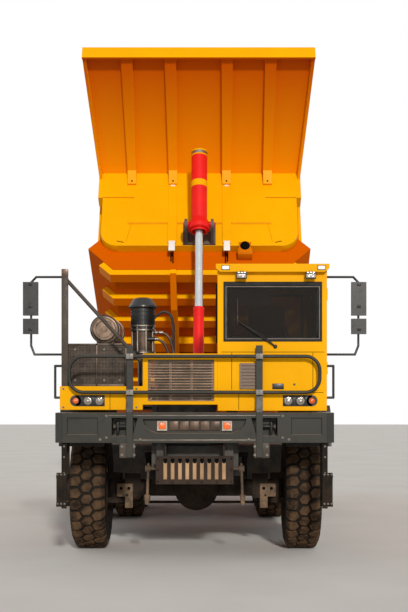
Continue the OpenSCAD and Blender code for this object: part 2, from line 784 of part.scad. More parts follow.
module floor_ribs(rib_w, rib_d) {
    // Places of their middles ahead of the hinge pin
    for (u = [4150, 3530, 2910, 1670, 1050, 430])
        along_y(-u - rib_w / 2, -u + rib_w / 2) polygon([
            [-rib_end, rib_end_h], [-floor_half, floor_h], [floor_half, floor_h],
            [rib_end, rib_end_h], [1500, floor_h + 80], [floor_half + 40, floor_h - rib_d],
            [-floor_half - 40, floor_h - rib_d], [-1500, floor_h + 80]]);
    // The heavy cross rib over the tandem, whose wings reach up to the lower side beams
    along_y(-2440, -2180) polygon([
        [-wing_x, wing_h], [-floor_half, floor_h], [floor_half, floor_h], [wing_x, wing_h],
        [wing_x, wing_h - 150], [floor_half - 60, floor_h - 150], [-floor_half + 60, floor_h - 150],
        [-wing_x, wing_h - 150]]);
}

// The two long beams under the floor, with the hinge eyes at their rear ends
module bed_beams() {
    color(yellow) in_bed() {
        both_sides() difference() {
            union() {
                along_x(beam_x - beam_w / 2, beam_x + beam_w / 2) polygon([
                    [-headboard_u + 160, floor_h], [-headboard_u + 160, 150], [-3650, beam_drop],
                    [20, beam_drop], [20, floor_h]]);
                rod_x(beam_x - beam_w / 2, beam_x + beam_w / 2, 0, 0, 90);
            }
            rod_x(beam_x - beam_w, beam_x + beam_w, 0, 0, pin_r + shaft_gap);
        }
    }
}

// Side view of the canopy's plate and front flange
module canopy_side() {
    polygon([
        [-headboard_u, canopy_h], [-lip_u, lip_h - 60], [-lip_u, lip_h], [-headboard_u, canopy_h + 60],
        [-headboard_u + headboard_t, canopy_h + 60], [-headboard_u + headboard_t, canopy_h]]);
}

module canopy_plan(inset) {
    polygon([
        [-lip_half + inset, -lip_u], [lip_half - inset, -lip_u], [canopy_half - inset, -headboard_u],
        [canopy_half - inset, 0], [-canopy_half + inset, 0], [-canopy_half + inset, -headboard_u]]);
}

module canopy() {
    color(yellow) in_bed() {
        intersection() {
            along_x(-2000, 2000) canopy_side();
            linear_extrude_z(canopy_h - 500, lip_h + 500) canopy_plan(0);
        }
        // Front flange and edge flanges
        block([-lip_half, lip_half], [-lip_u, -lip_u + 40], [lip_h - 200, lip_h - 30]);
        intersection() {
            along_x(-2000, 2000) polygon([
                [-headboard_u, canopy_h + 10], [-lip_u, lip_h - 50], [-lip_u, lip_h - 160],
                [-headboard_u, canopy_h - 110]]);
            difference() {
                linear_extrude_z(canopy_h - 500, lip_h + 500) canopy_plan(0);
                linear_extrude_z(canopy_h - 500, lip_h + 500) canopy_plan(40);
            }
        }
        // Box ribs under the plate, wider towards the lip, with a steep foot on the headboard
        both_sides() for (x = rib_places) intersection() {
            along_x(x - 100, x + 100) polygon([
                [-headboard_u - plate_t, canopy_h + 10], [-lip_u + 40, lip_h - 65],
                [-lip_u + 40, lip_h - 150], [-headboard_u - 150, canopy_h + 70 - rib_depth],
                [-headboard_u - plate_t - 40, canopy_h - 240], [-headboard_u - plate_t, canopy_h - 240]]);
            linear_extrude_z(canopy_h - 500, lip_h + 500) polygon([
                [x - rib_foot / 2, -headboard_u + 10], [x - rib_foot / 2, -headboard_u - 100],
                [x - rib_lip / 2, -lip_u], [x + rib_lip / 2, -lip_u],
                [x + rib_foot / 2, -headboard_u - 100], [x + rib_foot / 2, -headboard_u + 10]]);
        }
    }
}

module hoist_bracket() {
    color(dark) in_bed() {
        block([-ear_x1 - 30, ear_x1 + 30], [-headboard_u - 34, -headboard_u - plate_t],
            [trunnion_h - 90, trunnion_h + 160]);
        block([-ear_x1 - 30, ear_x1 + 30], [-headboard_u - plate_t, -headboard_u],
            [trunnion_h - 90, headboard_h + 419]);
        both_sides() difference() {
            union() {
                along_x(ear_x0, ear_x1) polygon([
                    [-headboard_u - 34, trunnion_h - 90], [-trunnion_u, trunnion_h - 85],
                    [-trunnion_u, trunnion_h + 85], [-headboard_u - 34, trunnion_h + 160]]);
                rod_x(ear_x0, ear_x1, -trunnion_u, trunnion_h, 85);
            }
            rod_x(ear_x0 - 1, ear_x1 + 1, -trunnion_u, trunnion_h, trunnion_r + shaft_gap);
        }
    }
}

// The hoist's own frame: origin at the trunnion, Z up along the leaning cylinder
module in_hoist() {
    at_axle() translate([0, trunnion_y, trunnion_z]) rotate([-hoist_lean, 0, 0]) children();
}

module ring_tube(z0, z1, outer_d, bore_d) {
    difference() {
        translate([0, 0, z0]) cylinder(h = z1 - z0, d = outer_d);
        translate([0, 0, z0 - 1]) cylinder(h = z1 - z0 + 2, d = bore_d);
    }
}

module hoist_cover() {
    bore = cover_d - 36;
    color(red) in_hoist() {
        difference() {
            union() {
                translate([0, 0, -cover_down]) cylinder(h = cover_up + cover_down, d = cover_d);
                rotate_extrude() polygon([
                    [0, -90], [flare_r - 12, -90], [flare_r, -75], [flare_r, -20], [cover_d / 2, 90],
                    [0, 90]]);
                rod_x(-ear_x1 - 10, ear_x1 + 10, 0, 0, trunnion_r);
                // Rings round the closed top
                for (z = [cover_up - 82, cover_up - 22])
                    translate([0, 0, z]) cylinder(h = 14, d = cover_d + 8);
            }
            translate([0, 0, -cover_down - 1]) cylinder(h = cover_up + cover_down - 29, d = bore);
        }
        // The innermost stage, fixed to the closed top of the cover
        translate([0, 0, cover_up - 30 - stage_len - 10]) cylinder(h = stage_len + 11, d = inner_d);
    }
}

// Middle stage, a chrome tube that slides on the inner stage and in the barrel
module hoist_rod() {
    top = -50;
    color("lightgray") in_hoist() {
        ring_tube(top - stage_len, top - 60, stage_d, stage_bore);
        ring_tube(top - 60, top, stage_d, inner_d + 2 * shaft_gap);
    }
}

module hoist_barrel() {
    top = barrel_len - hoist_len;
    color(red) in_hoist() {
        ring_tube(60 - hoist_len, top - 60, barrel_d, stage_d + 12);
        ring_tube(top - 60, top, barrel_d + 10, stage_d + 2 * shaft_gap);
        ring_tube(top - 130, top - 105, barrel_d + 8, barrel_d - 10);
        rod_x(-84, 84, 0, -hoist_len, 80);
    }
}

// Steering knuckle: lugs above and below the axle's boss, kingpin, spindle and brake drum
module knuckle(side) {
    color(dark) at_axle() {
        x0 = side * kingpin_half;
        for (z = [axle_z - 185, axle_z + 115]) {
            translate([x0, 0, z]) cylinder(h = 70, r = 80);
            block_x(x0, side * (kingpin_half + 135), [-80, 80], [z, z + 70]);
        }
        block_x(side * (kingpin_half + 100), side * (kingpin_half + 135), [-130, 130],
            [axle_z - 185, axle_z + 185]);
        translate([x0, 0, axle_z - 185]) cylinder(h = 370, r = 32);
        rod_side(side, kingpin_half + 135, kingpin_half + 230, 0, axle_z, 200);
        rod_side(side, kingpin_half + 200, front_track_half + 60, 0, axle_z, 60);
        // Steering arm to the tie rod
        translate([x0 - side * 50, 0, 0]) block([-35, 35], [60, 260], [axle_z - 185, axle_z - 145]);
        translate([x0 - side * 50, 260, axle_z - 185]) cylinder(h = 40, r = 45);
    }
}

module block_x(xa, xb, y, z) {
    block([min(xa, xb), max(xa, xb)], y, z);
}

module rod_side(side, xa, xb, y, z, r) {
    rod_x(min(side * xa, side * xb), max(side * xa, side * xb), y, z, r);
}

module knuckle_left() {
    knuckle(1);
}

module knuckle_right() {
    knuckle(-1);
}

module tie_rod() {
    z = axle_z - 185 - 0.3;
    color(dark) at_axle() {
        both_sides() translate([kingpin_half - 50, 260, z - 36]) cylinder(h = 36, r = 45);
        rod_x(-kingpin_half + 60, kingpin_half - 60, 260, z - 18, 17);
    }
}

// Rim: barrel with flanges, a dished disc and the hub
module rim_at(side, x, disc_at) {
    translate([side * x, 0, axle_z]) rotate([0, 90 * side, 0]) {
        difference() {
            translate([0, 0, -150]) cylinder(h = 300, r = rim_r);
            translate([0, 0, -151]) cylinder(h = 302, r = rim_r - 20);
        }
        translate([0, 0, -165]) flange_ring();
        translate([0, 0, 145]) flange_ring();
        difference() {
            translate([0, 0, disc_at]) cylinder(h = 25, r = rim_r - 19);
            for (a = [0 : 36 : 324]) rotate([0, 0, a]) translate([215, 0, disc_at - 1])
                cylinder(h = 27, r = 32);
            translate([0, 0, disc_at - 1]) cylinder(h = 27, r = 100);
        }
    }
}

module flange_ring() {
    difference() {
        cylinder(h = 20, r = rim_r + 22);
        translate([0, 0, -1]) cylinder(h = 22, r = rim_r - 20);
    }
}

// Tyre: the turned body with a middle rib, and a row of lugs along each shoulder, half a lug apart
module tyre_at(side, x) {
    half = tyre_w / 2;
    tread_r = tyre_r - tread_h;
    rib = 40;
    translate([side * x, 0, axle_z]) rotate([0, 90 * side, 0]) {
        rotate_extrude() polygon([
            [rim_r + 22.3, -144.7], [rim_r + 0.3, -144.7], [rim_r + 0.3, 144.7], [rim_r + 22.3, 144.7],
            [rim_r + 60, half - 30], [rim_r + 150, half - 4], [rim_r + 230, half],
            [tyre_r - 110, half - 6], [tyre_r - 60, half - 22], [tread_r, half - 62],
            [tread_r, rib + 5], [tyre_r, rib], [tyre_r, -rib], [tread_r, -rib - 5],
            [tread_r, -half + 62], [tyre_r - 60, -half + 22], [tyre_r - 110, -half + 6],
            [rim_r + 230, -half], [rim_r + 150, -half + 4], [rim_r + 60, -half + 30]]);
        lug_ring(rib + 3, half - 14, 0);
        lug_ring(-half + 14, -rib - 3, 180 / lug_count);
    }
}

// Lugs of one shoulder, drawn as a toothed ring whose root lies under the tyre's surface
module lug_ring(z0, z1, turn) {
    pitch = 360 / lug_count;
    root_r = tyre_r - 100;
    translate([0, 0, z0]) rotate([0, 0, turn]) linear_extrude(height = z1 - z0) difference() {
        polygon([for (i = [0 : lug_count - 1]) for (corner = [[-0.34, root_r], [-0.31, tyre_r],
            [0.31, tyre_r], [0.34, root_r]])
            corner[1] * [cos((i + corner[0]) * pitch), sin((i + corner[0]) * pitch)]]);
        circle(r = root_r - 40);
    }
}

module front_rim(side) {
    color(yellow) at_axle() {
        rim_at(side, front_track_half, 20);
        difference() {
            rod_side(side, front_track_half - 60, front_track_half + 150, 0, axle_z, 120);
            rod_side(side, front_track_half - 61, front_track_half + 66, 0, axle_z, 60 + shaft_gap);
        }
    }
}

module rim_front_left() {
    front_rim(1);
}

module rim_front_right() {
    front_rim(-1);
}

module front_tyre(side) {
    color(black) at_axle() tyre_at(side, front_track_half);
}

module tyre_front_left() {
    front_tyre(1);
}

module tyre_front_right() {
    front_tyre(-1);
}

// Twin wheel: two rims on one long hub that carries the final drive
module twin_rims(side, y) {
    color(yellow) at_axle() translate([0, y, 0]) {
        rim_at(side, rear_track_half - twin_spacing / 2, 100);
        rim_at(side, rear_track_half + twin_spacing / 2, -110);
        difference() {
            rod_side(side, rear_track_half - 150, rear_track_half + 250, 0, axle_z, 150);
            rod_side(side, rear_track_half - 151, rear_track_half + 66, 0, axle_z, 90 + shaft_gap);
        }
    }
}

module twin_tyres(side, y) {
    color(black) at_axle() translate([0, y, 0]) {
        tyre_at(side, rear_track_half - twin_spacing / 2);
        tyre_at(side, rear_track_half + twin_spacing / 2);
    }
}

module rims_middle_left() {
    twin_rims(1, wheelbase);
}

module tyres_middle_left() {
    twin_tyres(1, wheelbase);
}

module rims_middle_right() {
    twin_rims(-1, wheelbase);
}

module tyres_middle_right() {
    twin_tyres(-1, wheelbase);
}

module rims_rear_left() {
    twin_rims(1, wheelbase + tandem_spread);
}

module tyres_rear_left() {
    twin_tyres(1, wheelbase + tandem_spread);
}

module rims_rear_right() {
    twin_rims(-1, wheelbase + tandem_spread);
}

module tyres_rear_right() {
    twin_tyres(-1, wheelbase + tandem_spread);
}

// Door of the cab with its window cut
module cab_door() {
    gap = 6;
    color(yellow) at_axle() {
        difference() {
            block([cab_x1 - cab_wall, cab_x1], [door_y0 + gap, door_y1 - gap],
                [door_z0 + gap, door_z1 - gap]);
            block([cab_x1 - cab_wall - 1, cab_x1 + 1], [-1080, 60], [2600, 3220]);
        }
        for (z = door_hinges) {
            translate([cab_x1 + 14, door_y0 + 8, z]) cylinder(h = 80, r = 14);
            block([cab_x1, cab_x1 + 14], [door_y0 + 8, door_y0 + 70], [z, z + 80]);
        }
        block([cab_x1, cab_x1 + 40], [60, 80], [2400, 2520]);
    }
}

module door_glass() {
    color(smoke) at_axle() block([cab_x1 - 28, cab_x1 - 20], [-1080, 60], [2600, 3220]);
}

frame();
cross_members();
bed_hinge();
hoist_mount();
engine_block();
radiator();
front_axle();
front_springs();
rear_axles();
tandem_springs();
propshafts();
front_bumper();
handrails();
rail_posts();
front_panels();
grille();
lamps();
lower_guard();
cab_shell();
cab_glass();
cab_interior();
wiper();
mirrors();
deck();
deck_brackets();
side_screen();
air_cleaner();
muffler();
engine_hoses();
fenders();
side_steps();
tanks();
bed_shell();
headboard();
side_posts();
bed_ribs();
bed_beams();
canopy();
hoist_bracket();
hoist_cover();
hoist_rod();
hoist_barrel();
knuckle_left();
knuckle_right();
tie_rod();
rim_front_left();
tyre_front_left();
rim_front_right();
tyre_front_right();
rims_middle_left();
tyres_middle_left();
rims_middle_right();
tyres_middle_right();
rims_rear_left();
tyres_rear_left();
rims_rear_right();
tyres_rear_right();
cab_door();
door_glass();
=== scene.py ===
"""Looks of the wide-body mining dump truck: finishes, small fittings, light and camera."""

import json
import math

import bmesh
import bpy
from mathutils import Matrix, Vector


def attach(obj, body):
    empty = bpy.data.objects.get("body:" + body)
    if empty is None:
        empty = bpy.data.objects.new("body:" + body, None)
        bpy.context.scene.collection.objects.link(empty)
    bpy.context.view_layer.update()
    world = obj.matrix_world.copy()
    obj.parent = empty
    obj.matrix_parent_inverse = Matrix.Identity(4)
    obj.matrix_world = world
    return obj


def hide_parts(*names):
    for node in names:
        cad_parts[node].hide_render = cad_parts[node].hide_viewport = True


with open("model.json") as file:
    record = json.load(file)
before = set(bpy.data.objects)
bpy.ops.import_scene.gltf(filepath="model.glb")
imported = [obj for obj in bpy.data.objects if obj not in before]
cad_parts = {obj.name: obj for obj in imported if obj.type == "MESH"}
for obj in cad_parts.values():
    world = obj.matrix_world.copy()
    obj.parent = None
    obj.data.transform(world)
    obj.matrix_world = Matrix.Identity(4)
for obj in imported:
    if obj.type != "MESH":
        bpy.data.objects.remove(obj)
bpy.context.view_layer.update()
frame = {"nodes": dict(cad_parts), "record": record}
NODES = frame["nodes"]

# Places that the truck's own drawing gives, in metres
AXLE_Y = -3.23
MIDDLE_Y = 0.67
REAR_Y = 2.29
WHEEL_Z = 0.745
TYRE_R = 0.745
FRONT_TRACK = 1.3
REAR_TRACK = 1.335
TWIN_GAP = 0.49
CAB_FACE = -1.4
BUMPER_FACE = -1.52
BED_SKIN = -4.4205


def moved(x, y, z):
    return Matrix.Translation((x, y, z))


def rotated(degrees, axis):
    return Matrix.Rotation(math.radians(degrees), 4, axis)


# Frames that pieces are laid out in: the truck's, the front axle's, the bed's and the hoist's
HERE = Matrix.Identity(4)
FRONT = moved(0.0, AXLE_Y, 0.0)
BED = moved(0.0, 3.27, 1.45) @ rotated(-30.0, "X")
HOIST = moved(0.0, -0.5694, 4.3999) @ rotated(-19.109, "X")
TO_FRONT = rotated(90.0, "X")
TO_LEFT = rotated(90.0, "Y")

# Colours of the real finishes, as linear RGB, except the first: the deep orange of painted shade
# under the bed
PAINTED_SHADE_ORANGE = (0.86, 0.19, 0.0006)
YELLOW = (0.88, 0.42, 0.0008)
FRAME_GREY = (0.024, 0.023, 0.021)
BUMPER_GREY = (0.02, 0.019, 0.0145)
BLACK_METAL = (0.011, 0.0105, 0.01)
HOIST_RED = (0.8, 0.008, 0.006)
DUST = (0.23, 0.17, 0.115)


# ---- finishes

def add(tree, kind, **sockets):
    """A shader node with its sockets set by name; spaces in names are written as underscores."""
    node = tree.nodes.new(kind)
    for key, value in sockets.items():
        node.inputs[key.replace("_", " ")].default_value = value
    return node


def object_noise(tree, coords, scale, detail=4.0, rough=0.55):
    noise = add(tree, "ShaderNodeTexNoise", Scale=scale, Detail=detail, Roughness=rough)
    tree.links.new(coords.outputs["Object"], noise.inputs["Vector"])
    return noise.outputs["Fac"]


def resting_place(tree, coords, axis):
    """Where each point of the resting truck lies along an axis."""
    place = tree.nodes.new("ShaderNodeSeparateXYZ")
    tree.links.new(coords.outputs["Object"], place.inputs[0])
    return place.outputs[axis]


def stretch(tree, source, low, high, to_low=0.0, to_high=1.0):
    """Spreads the values between low and high over a new range."""
    spread = add(tree, "ShaderNodeMapRange", From_Min=low, From_Max=high, To_Min=to_low,
                 To_Max=to_high)
    tree.links.new(source, spread.inputs["Value"])
    return spread.outputs["Result"]


def mixed(tree, share, first, second):
    """Colour between two, by a share from a socket; first and second are colours or sockets."""
    mix = tree.nodes.new("ShaderNodeMix")
    mix.data_type = "RGBA"
    tree.links.new(share, mix.inputs[0])
    for colour, socket in ((first, mix.inputs[6]), (second, mix.inputs[7])):
        if isinstance(colour, tuple):
            socket.default_value = colour + (1.0,)
        else:
            tree.links.new(colour, socket)
    return mix.outputs[2]


def combined(tree, operation, a, b):
    """Arithmetic on a socket, and on another socket or a number."""
    node = tree.nodes.new("ShaderNodeMath")
    node.operation = operation
    tree.links.new(a, node.inputs[0])
    if isinstance(b, float):
        node.inputs[1].default_value = b
    else:
        tree.links.new(b, node.inputs[1])
    return node.outputs[0]


def pressed(tree, source, strength, distance):
    """Turns values into relief."""
    bump = add(tree, "ShaderNodeBump", Strength=strength, Distance=distance)
    tree.links.new(source, bump.inputs["Height"])
    tree.links.new(bump.outputs["Normal"], tree.nodes["Principled BSDF"].inputs["Normal"])


def finish(name, colour, rough, tint=0.12, metallic=0.0, tint_scale=3.0, grain=60.0, relief=0.03,
           dust=None, coat=0.0, rough_spread=0.12, shine=0.5, index=1.5):
    """A worn industrial surface: slow drift of colour, fine grain in the relief, and dust low down.

    dust: how much, the heights where it starts and where it is thickest, and its colour."""
    material = bpy.data.materials.new(name)
    material.use_nodes = True
    tree = material.node_tree
    shader = tree.nodes["Principled BSDF"]
    for socket, value in (("Metallic", metallic), ("Specular IOR Level", shine), ("IOR", index),
                          ("Coat Weight", coat), ("Coat Roughness", 0.12)):
        shader.inputs[socket].default_value = value
    coords = tree.nodes.new("ShaderNodeTexCoord")
    drift = object_noise(tree, coords, tint_scale)
    darker = tuple(c * (1.0 - tint) for c in colour)
    lighter = tuple(min(1.0, c * (1.0 + tint)) for c in colour)
    result = mixed(tree, stretch(tree, drift, 0.35, 0.65), darker, lighter)
    if dust:
        amount, top, floor, dust_colour = (*dust, 0.2, DUST)[:4]
        low = stretch(tree, resting_place(tree, coords, "Z"), top, floor)
        patch = stretch(tree, object_noise(tree, coords, 7.0, 8.0, 0.65), 0.36, 0.6)
        cover = combined(tree, "MULTIPLY", combined(tree, "MULTIPLY", low, patch), amount)
        result = mixed(tree, cover, result, dust_colour)
    tree.links.new(result, shader.inputs["Base Color"])
    gloss = stretch(tree, object_noise(tree, coords, tint_scale * 4.0), 0.3, 0.7,
                    max(0.02, rough - rough_spread), min(1.0, rough + rough_spread))
    tree.links.new(gloss, shader.inputs["Roughness"])
    pressed(tree, object_noise(tree, coords, grain, 2.0), relief, 0.01)
    return material


def glass_finish(name, alpha):
    """Tinted cab glass that lets the dark inside show and still reflects the sky."""
    material = finish(name, (0.015, 0.013, 0.011), 0.06, relief=0.004, rough_spread=0.03)
    shader = material.node_tree.nodes["Principled BSDF"]
    shader.inputs["Alpha"].default_value = alpha
    shader.inputs["Specular IOR Level"].default_value = 0.14
    return material


def lens_finish(name, colour, metallic=0.0, glow=0.0):
    """A lamp lens pressed into small prisms."""
    material = finish(name, colour, 0.14, 0.08, metallic, coat=0.25, rough_spread=0.05)
    tree = material.node_tree
    shader = tree.nodes["Principled BSDF"]
    prisms = add(tree, "ShaderNodeTexVoronoi", Scale=95.0)
    coords = next(n for n in tree.nodes if n.bl_idname == "ShaderNodeTexCoord")
    tree.links.new(coords.outputs["Object"], prisms.inputs["Vector"])
    pressed(tree, prisms.outputs["Distance"], 0.35, 0.006)
    shader.inputs["Emission Color"].default_value = colour + (1.0,)
    shader.inputs["Emission Strength"].default_value = glow
    return material


FINISHES = {
    "body_yellow": finish("yellow_gloss_paint", YELLOW, 0.38, 0.05, tint_scale=1.2, grain=90.0,
                          relief=0.02, shine=0.4, index=1.16, dust=(0.25, 1.9)),
    "rim_paint": finish("rim_yellow_paint", (0.55, 0.24, 0.006), 0.5, 0.2, shine=0.2,
                        dust=(0.7, 1.6)),
    "frame_paint": finish("frame_satin_paint", FRAME_GREY, 0.5, 0.25, shine=0.45, dust=(0.5, 1.5)),
    "bumper_paint": finish("bumper_satin_paint", BUMPER_GREY, 0.42, 0.12, relief=0.05, shine=0.32,
                           dust=(0.3, 1.4)),
    "spring_steel": finish("spring_black_paint", BLACK_METAL, 0.6, 0.3, shine=0.12,
                           dust=(0.6, 1.0)),
    "engine_metal": finish("engine_grey_paint", (0.045, 0.044, 0.042), 0.5, 0.3, shine=0.2),
    "black_metal": finish("matt_black_metal", BLACK_METAL, 0.5, 0.3, shine=0.3),
    "black_plastic": finish("black_moulding", (0.011, 0.011, 0.012), 0.38, 0.15, grain=180.0,
                            relief=0.06),
    "exhaust_steel": finish("heat_stained_steel", (0.17, 0.12, 0.088), 0.34, 0.4, metallic=0.85,
                            tint_scale=5.0),
    "hose_rubber": finish("hose_rubber", (0.018, 0.018, 0.018), 0.42, 0.2, shine=0.3),
    "bracket_grey": finish("bracket_primer", (0.1, 0.085, 0.075), 0.6, 0.25, shine=0.3),
    "hoist_red": finish("hoist_red_paint", HOIST_RED, 0.5, 0.06, relief=0.015, shine=0.3),
    "chrome": finish("hard_chrome", (0.54, 0.56, 0.58), 0.24, 0.06, metallic=0.8, relief=0.003,
                     rough_spread=0.04),
    "lamp_lens": lens_finish("clear_lens", (0.34, 0.31, 0.28), metallic=0.4),
    "glass": glass_finish("tinted_glass", 0.62),
    "interior": finish("cab_trim", (0.03, 0.029, 0.028), 0.7, 0.2, grain=200.0, relief=0.08,
                       shine=0.1),
    "tyre": finish("tyre_rubber", (0.013, 0.012, 0.011), 0.85, 0.3, grain=120.0, relief=0.12,
                   shine=0.08, dust=(0.3, 1.6, 0.2, (0.045, 0.028, 0.017))),
}

DUSTY_TREAD = finish("dusty_tread_rubber", (0.024, 0.016, 0.011), 0.85, 0.25, grain=140.0,
                     relief=0.15, shine=0.08, dust=(0.85, 2.2, 0.6, (0.125, 0.074, 0.042)))
# Near-black paint with dark dust for the axles, steps and parts under the truck: the darkness is
# painted shade under the bumper, the dust is dust
DUSTY_AXLE_PAINTED_SHADE = finish("dusty_axle_paint_painted_shade", (0.016, 0.013, 0.011), 0.8, 0.3, shine=0.06,
                    dust=(0.35, 1.3, 0.7, (0.08, 0.055, 0.036)))
DUSTY_PLATE = finish("dusty_plate_paint", (0.06, 0.045, 0.034), 0.75, 0.3, shine=0.2,
                     dust=(0.9, 1.3, 0.7, (0.24, 0.155, 0.095)))
DUSTY_GUARD = finish("dusty_guard_paint", (0.023, 0.013, 0.008), 0.6, 0.2, shine=0.2,
                     dust=(0.5, 1.5, 0.8, (0.05, 0.03, 0.018)))
SANDY_PLATE = finish("sandy_plate", (0.46, 0.29, 0.165), 0.8, 0.25, grain=90.0, relief=0.1,
                     shine=0.2)
AMBER = lens_finish("amber_lens", (0.8, 0.13, 0.008), glow=0.06)
RED_LENS = lens_finish("red_lens", (0.55, 0.006, 0.004), glow=0.05)
WHITE_LENS = lens_finish("white_lens", (0.85, 0.85, 0.85), glow=0.15)
BRIGHT = finish("brushed_bright_metal", (0.33, 0.29, 0.25), 0.28, 0.15, metallic=0.9, grain=200.0,
                relief=0.03)
BOLT = finish("zinc_bolts", (0.13, 0.115, 0.098), 0.5, 0.3, metallic=0.4)
BROWN_METAL = finish("sun_browned_metal", (0.085, 0.053, 0.036), 0.45, 0.35, metallic=0.5,
                     tint_scale=8.0)
SCREEN_WIRE = finish("screen_wire", (0.09, 0.066, 0.049), 0.4, 0.3, metallic=0.4, tint_scale=9.0,
                     shine=0.3)
SLATS = finish("radiator_slats", (0.37, 0.235, 0.15), 0.4, 0.4, metallic=0.45, tint_scale=6.0)
POST_PAINT = finish("post_worn_paint", (0.058, 0.045, 0.034), 0.55, 0.25, tint_scale=6.0, shine=0.3)
# Pale satin grey of the windscreen trim, also used for painted highlights on the bumper's edges
PALE_TRIM_AND_HIGHLIGHT = finish("pale_satin_trim_and_painted_highlight", (0.155, 0.13, 0.105), 0.4, 0.3, metallic=0.2, tint_scale=8.0)
CLAMP_GREY = finish("worn_clamp_paint", (0.2, 0.19, 0.17), 0.45, 0.25)
SEAL = finish("window_rubber", (0.012, 0.012, 0.012), 0.55, 0.1, shine=0.15)
DARK_HOLE = finish("shadowed_opening", (0.006, 0.006, 0.006), 0.9, 0.1, shine=0.0)
# Deep orange for the bed's welds and buffer stop: painted shade
ORANGE_PAINTED_SHADE = finish("orange_painted_shade", (0.66, 0.17, 0.0006), 0.5, 0.08, shine=0.4, index=1.16)
PALE_PATCH = finish("pale_patch", (0.84, 0.82, 0.78), 0.7, 0.05)
BLIND = finish("blind_cloth", (0.11, 0.105, 0.1), 0.85, 0.1, grain=300.0, relief=0.1)
SEAT_CLOTH = finish("seat_cloth", (0.04, 0.04, 0.044), 0.95, 0.15, grain=320.0, relief=0.35)
MIRROR_GLASS = finish("mirror_glass", (0.7, 0.72, 0.74), 0.04, 0.01, metallic=1.0, relief=0.001,
                      rough_spread=0.01)


def facing_finish(name, base, towards, colour, low, high, painted_shadow_fade=None, shine=None):
    """A finish that turns to another colour where the surface faces one way of the resting truck.

    With no way to face, it turns between two places along x. The painted shadow, if given, darkens
    that colour with height: from z, to z and the colour there."""
    material = base.copy()
    material.name = name
    tree = material.node_tree
    shader = tree.nodes["Principled BSDF"]
    if shine is not None:
        shader.inputs["Specular IOR Level"].default_value = shine
    coords = next(n for n in tree.nodes if n.bl_idname == "ShaderNodeTexCoord")
    if towards is None:
        source = resting_place(tree, coords, "X")
    else:
        facing = tree.nodes.new("ShaderNodeVectorMath")
        facing.operation = "DOT_PRODUCT"
        tree.links.new(coords.outputs["Normal"], facing.inputs[0])
        facing.inputs[1].default_value = Vector(towards).normalized()
        source = facing.outputs["Value"]
    share = stretch(tree, source, low, high)
    if painted_shadow_fade:
        height = resting_place(tree, coords, "Z")
        colour = mixed(tree, stretch(tree, height, painted_shadow_fade[0], painted_shadow_fade[1]), colour, painted_shadow_fade[2])
    painted = shader.inputs["Base Color"].links[0].from_socket
    tree.links.new(mixed(tree, share, painted, colour), shader.inputs["Base Color"])
    return material


def bed_way(x, y, z):
    return BED.to_3x3() @ Vector((x, y, z))


GLOSS = FINISHES["body_yellow"]
# The bed is yellow where it faces ahead or up, and a deeper orange of painted shade where it faces
# the ground
RIB_PAINT_WITH_PAINTED_SHADE = facing_finish("rib_paint_with_painted_shade", GLOSS, bed_way(0, 0, -1), PAINTED_SHADE_ORANGE, 0.35, 0.85)
# The shell's painted shade also covers faces that look ahead and down, in the shadow of the
# headboard's overhang
SHELL_PAINT_WITH_PAINTED_SHADE = facing_finish("shell_paint_with_painted_shade", GLOSS, bed_way(0, -1, -1),
                            (0.62, 0.11, 0.0004), 0.15, 0.45, shine=0.05)
# The canopy's underside gets painted shade, darker towards the lip as a painted shadow of the lip
CANOPY_PAINT_WITH_PAINTED_SHADE = facing_finish("canopy_paint_with_painted_shade", GLOSS, bed_way(0, 0, -1),
                             (0.97, 0.33, 0.0008), 0.35, 0.85, (5.25, 6.7, (0.56, 0.085, 0.0004)))
# The bumper turns tan where it faces up: dust, and painted sunlight on its top
BUMPER_DUST_AND_SUNLIT_TOP = facing_finish("bumper_dust_and_painted_sunlight_top", FINISHES["bumper_paint"], (0, 0, 1),
                             (0.26, 0.19, 0.135), 0.5, 0.9)

# The slats turn dull and dark on the vent beside the radiator
VENT_SLATS = facing_finish("grille_slats", SLATS, None, (0.13, 0.092, 0.07), 0.42, 0.46)

# Nodes whose finish differs from that of their slot; the bed's and the under-truck parts' finishes
# carry painted shade
NODE_FINISHES = {
    "canopy": CANOPY_PAINT_WITH_PAINTED_SHADE, "bed_ribs": RIB_PAINT_WITH_PAINTED_SHADE, "bed_beams": RIB_PAINT_WITH_PAINTED_SHADE,
    "bed_shell": SHELL_PAINT_WITH_PAINTED_SHADE, "front_bumper": BUMPER_DUST_AND_SUNLIT_TOP, "lower_guard": DUSTY_GUARD,
    "grille": VENT_SLATS, "side_steps": DUSTY_AXLE_PAINTED_SHADE, "front_axle": DUSTY_AXLE_PAINTED_SHADE,
    "knuckle_left": DUSTY_AXLE_PAINTED_SHADE, "knuckle_right": DUSTY_AXLE_PAINTED_SHADE, "tie_rod": DUSTY_AXLE_PAINTED_SHADE,
    "rear_axles": DUSTY_AXLE_PAINTED_SHADE,
}

# Plate-built nodes whose edges are rounded: how far, in metres
EDGE_NODES = {
    "front_bumper": 0.012, "front_panels": 0.006, "cab_shell": 0.012, "cab_door": 0.006,
    "fenders": 0.004, "side_steps": 0.004, "tanks": 0.03, "mirrors": 0.01, "rail_posts": 0.004,
    "lower_guard": 0.004, "canopy": 0.006, "headboard": 0.005, "side_posts": 0.005,
    "bed_ribs": 0.006, "bed_shell": 0.006, "bed_beams": 0.005, "deck": 0.004,
}


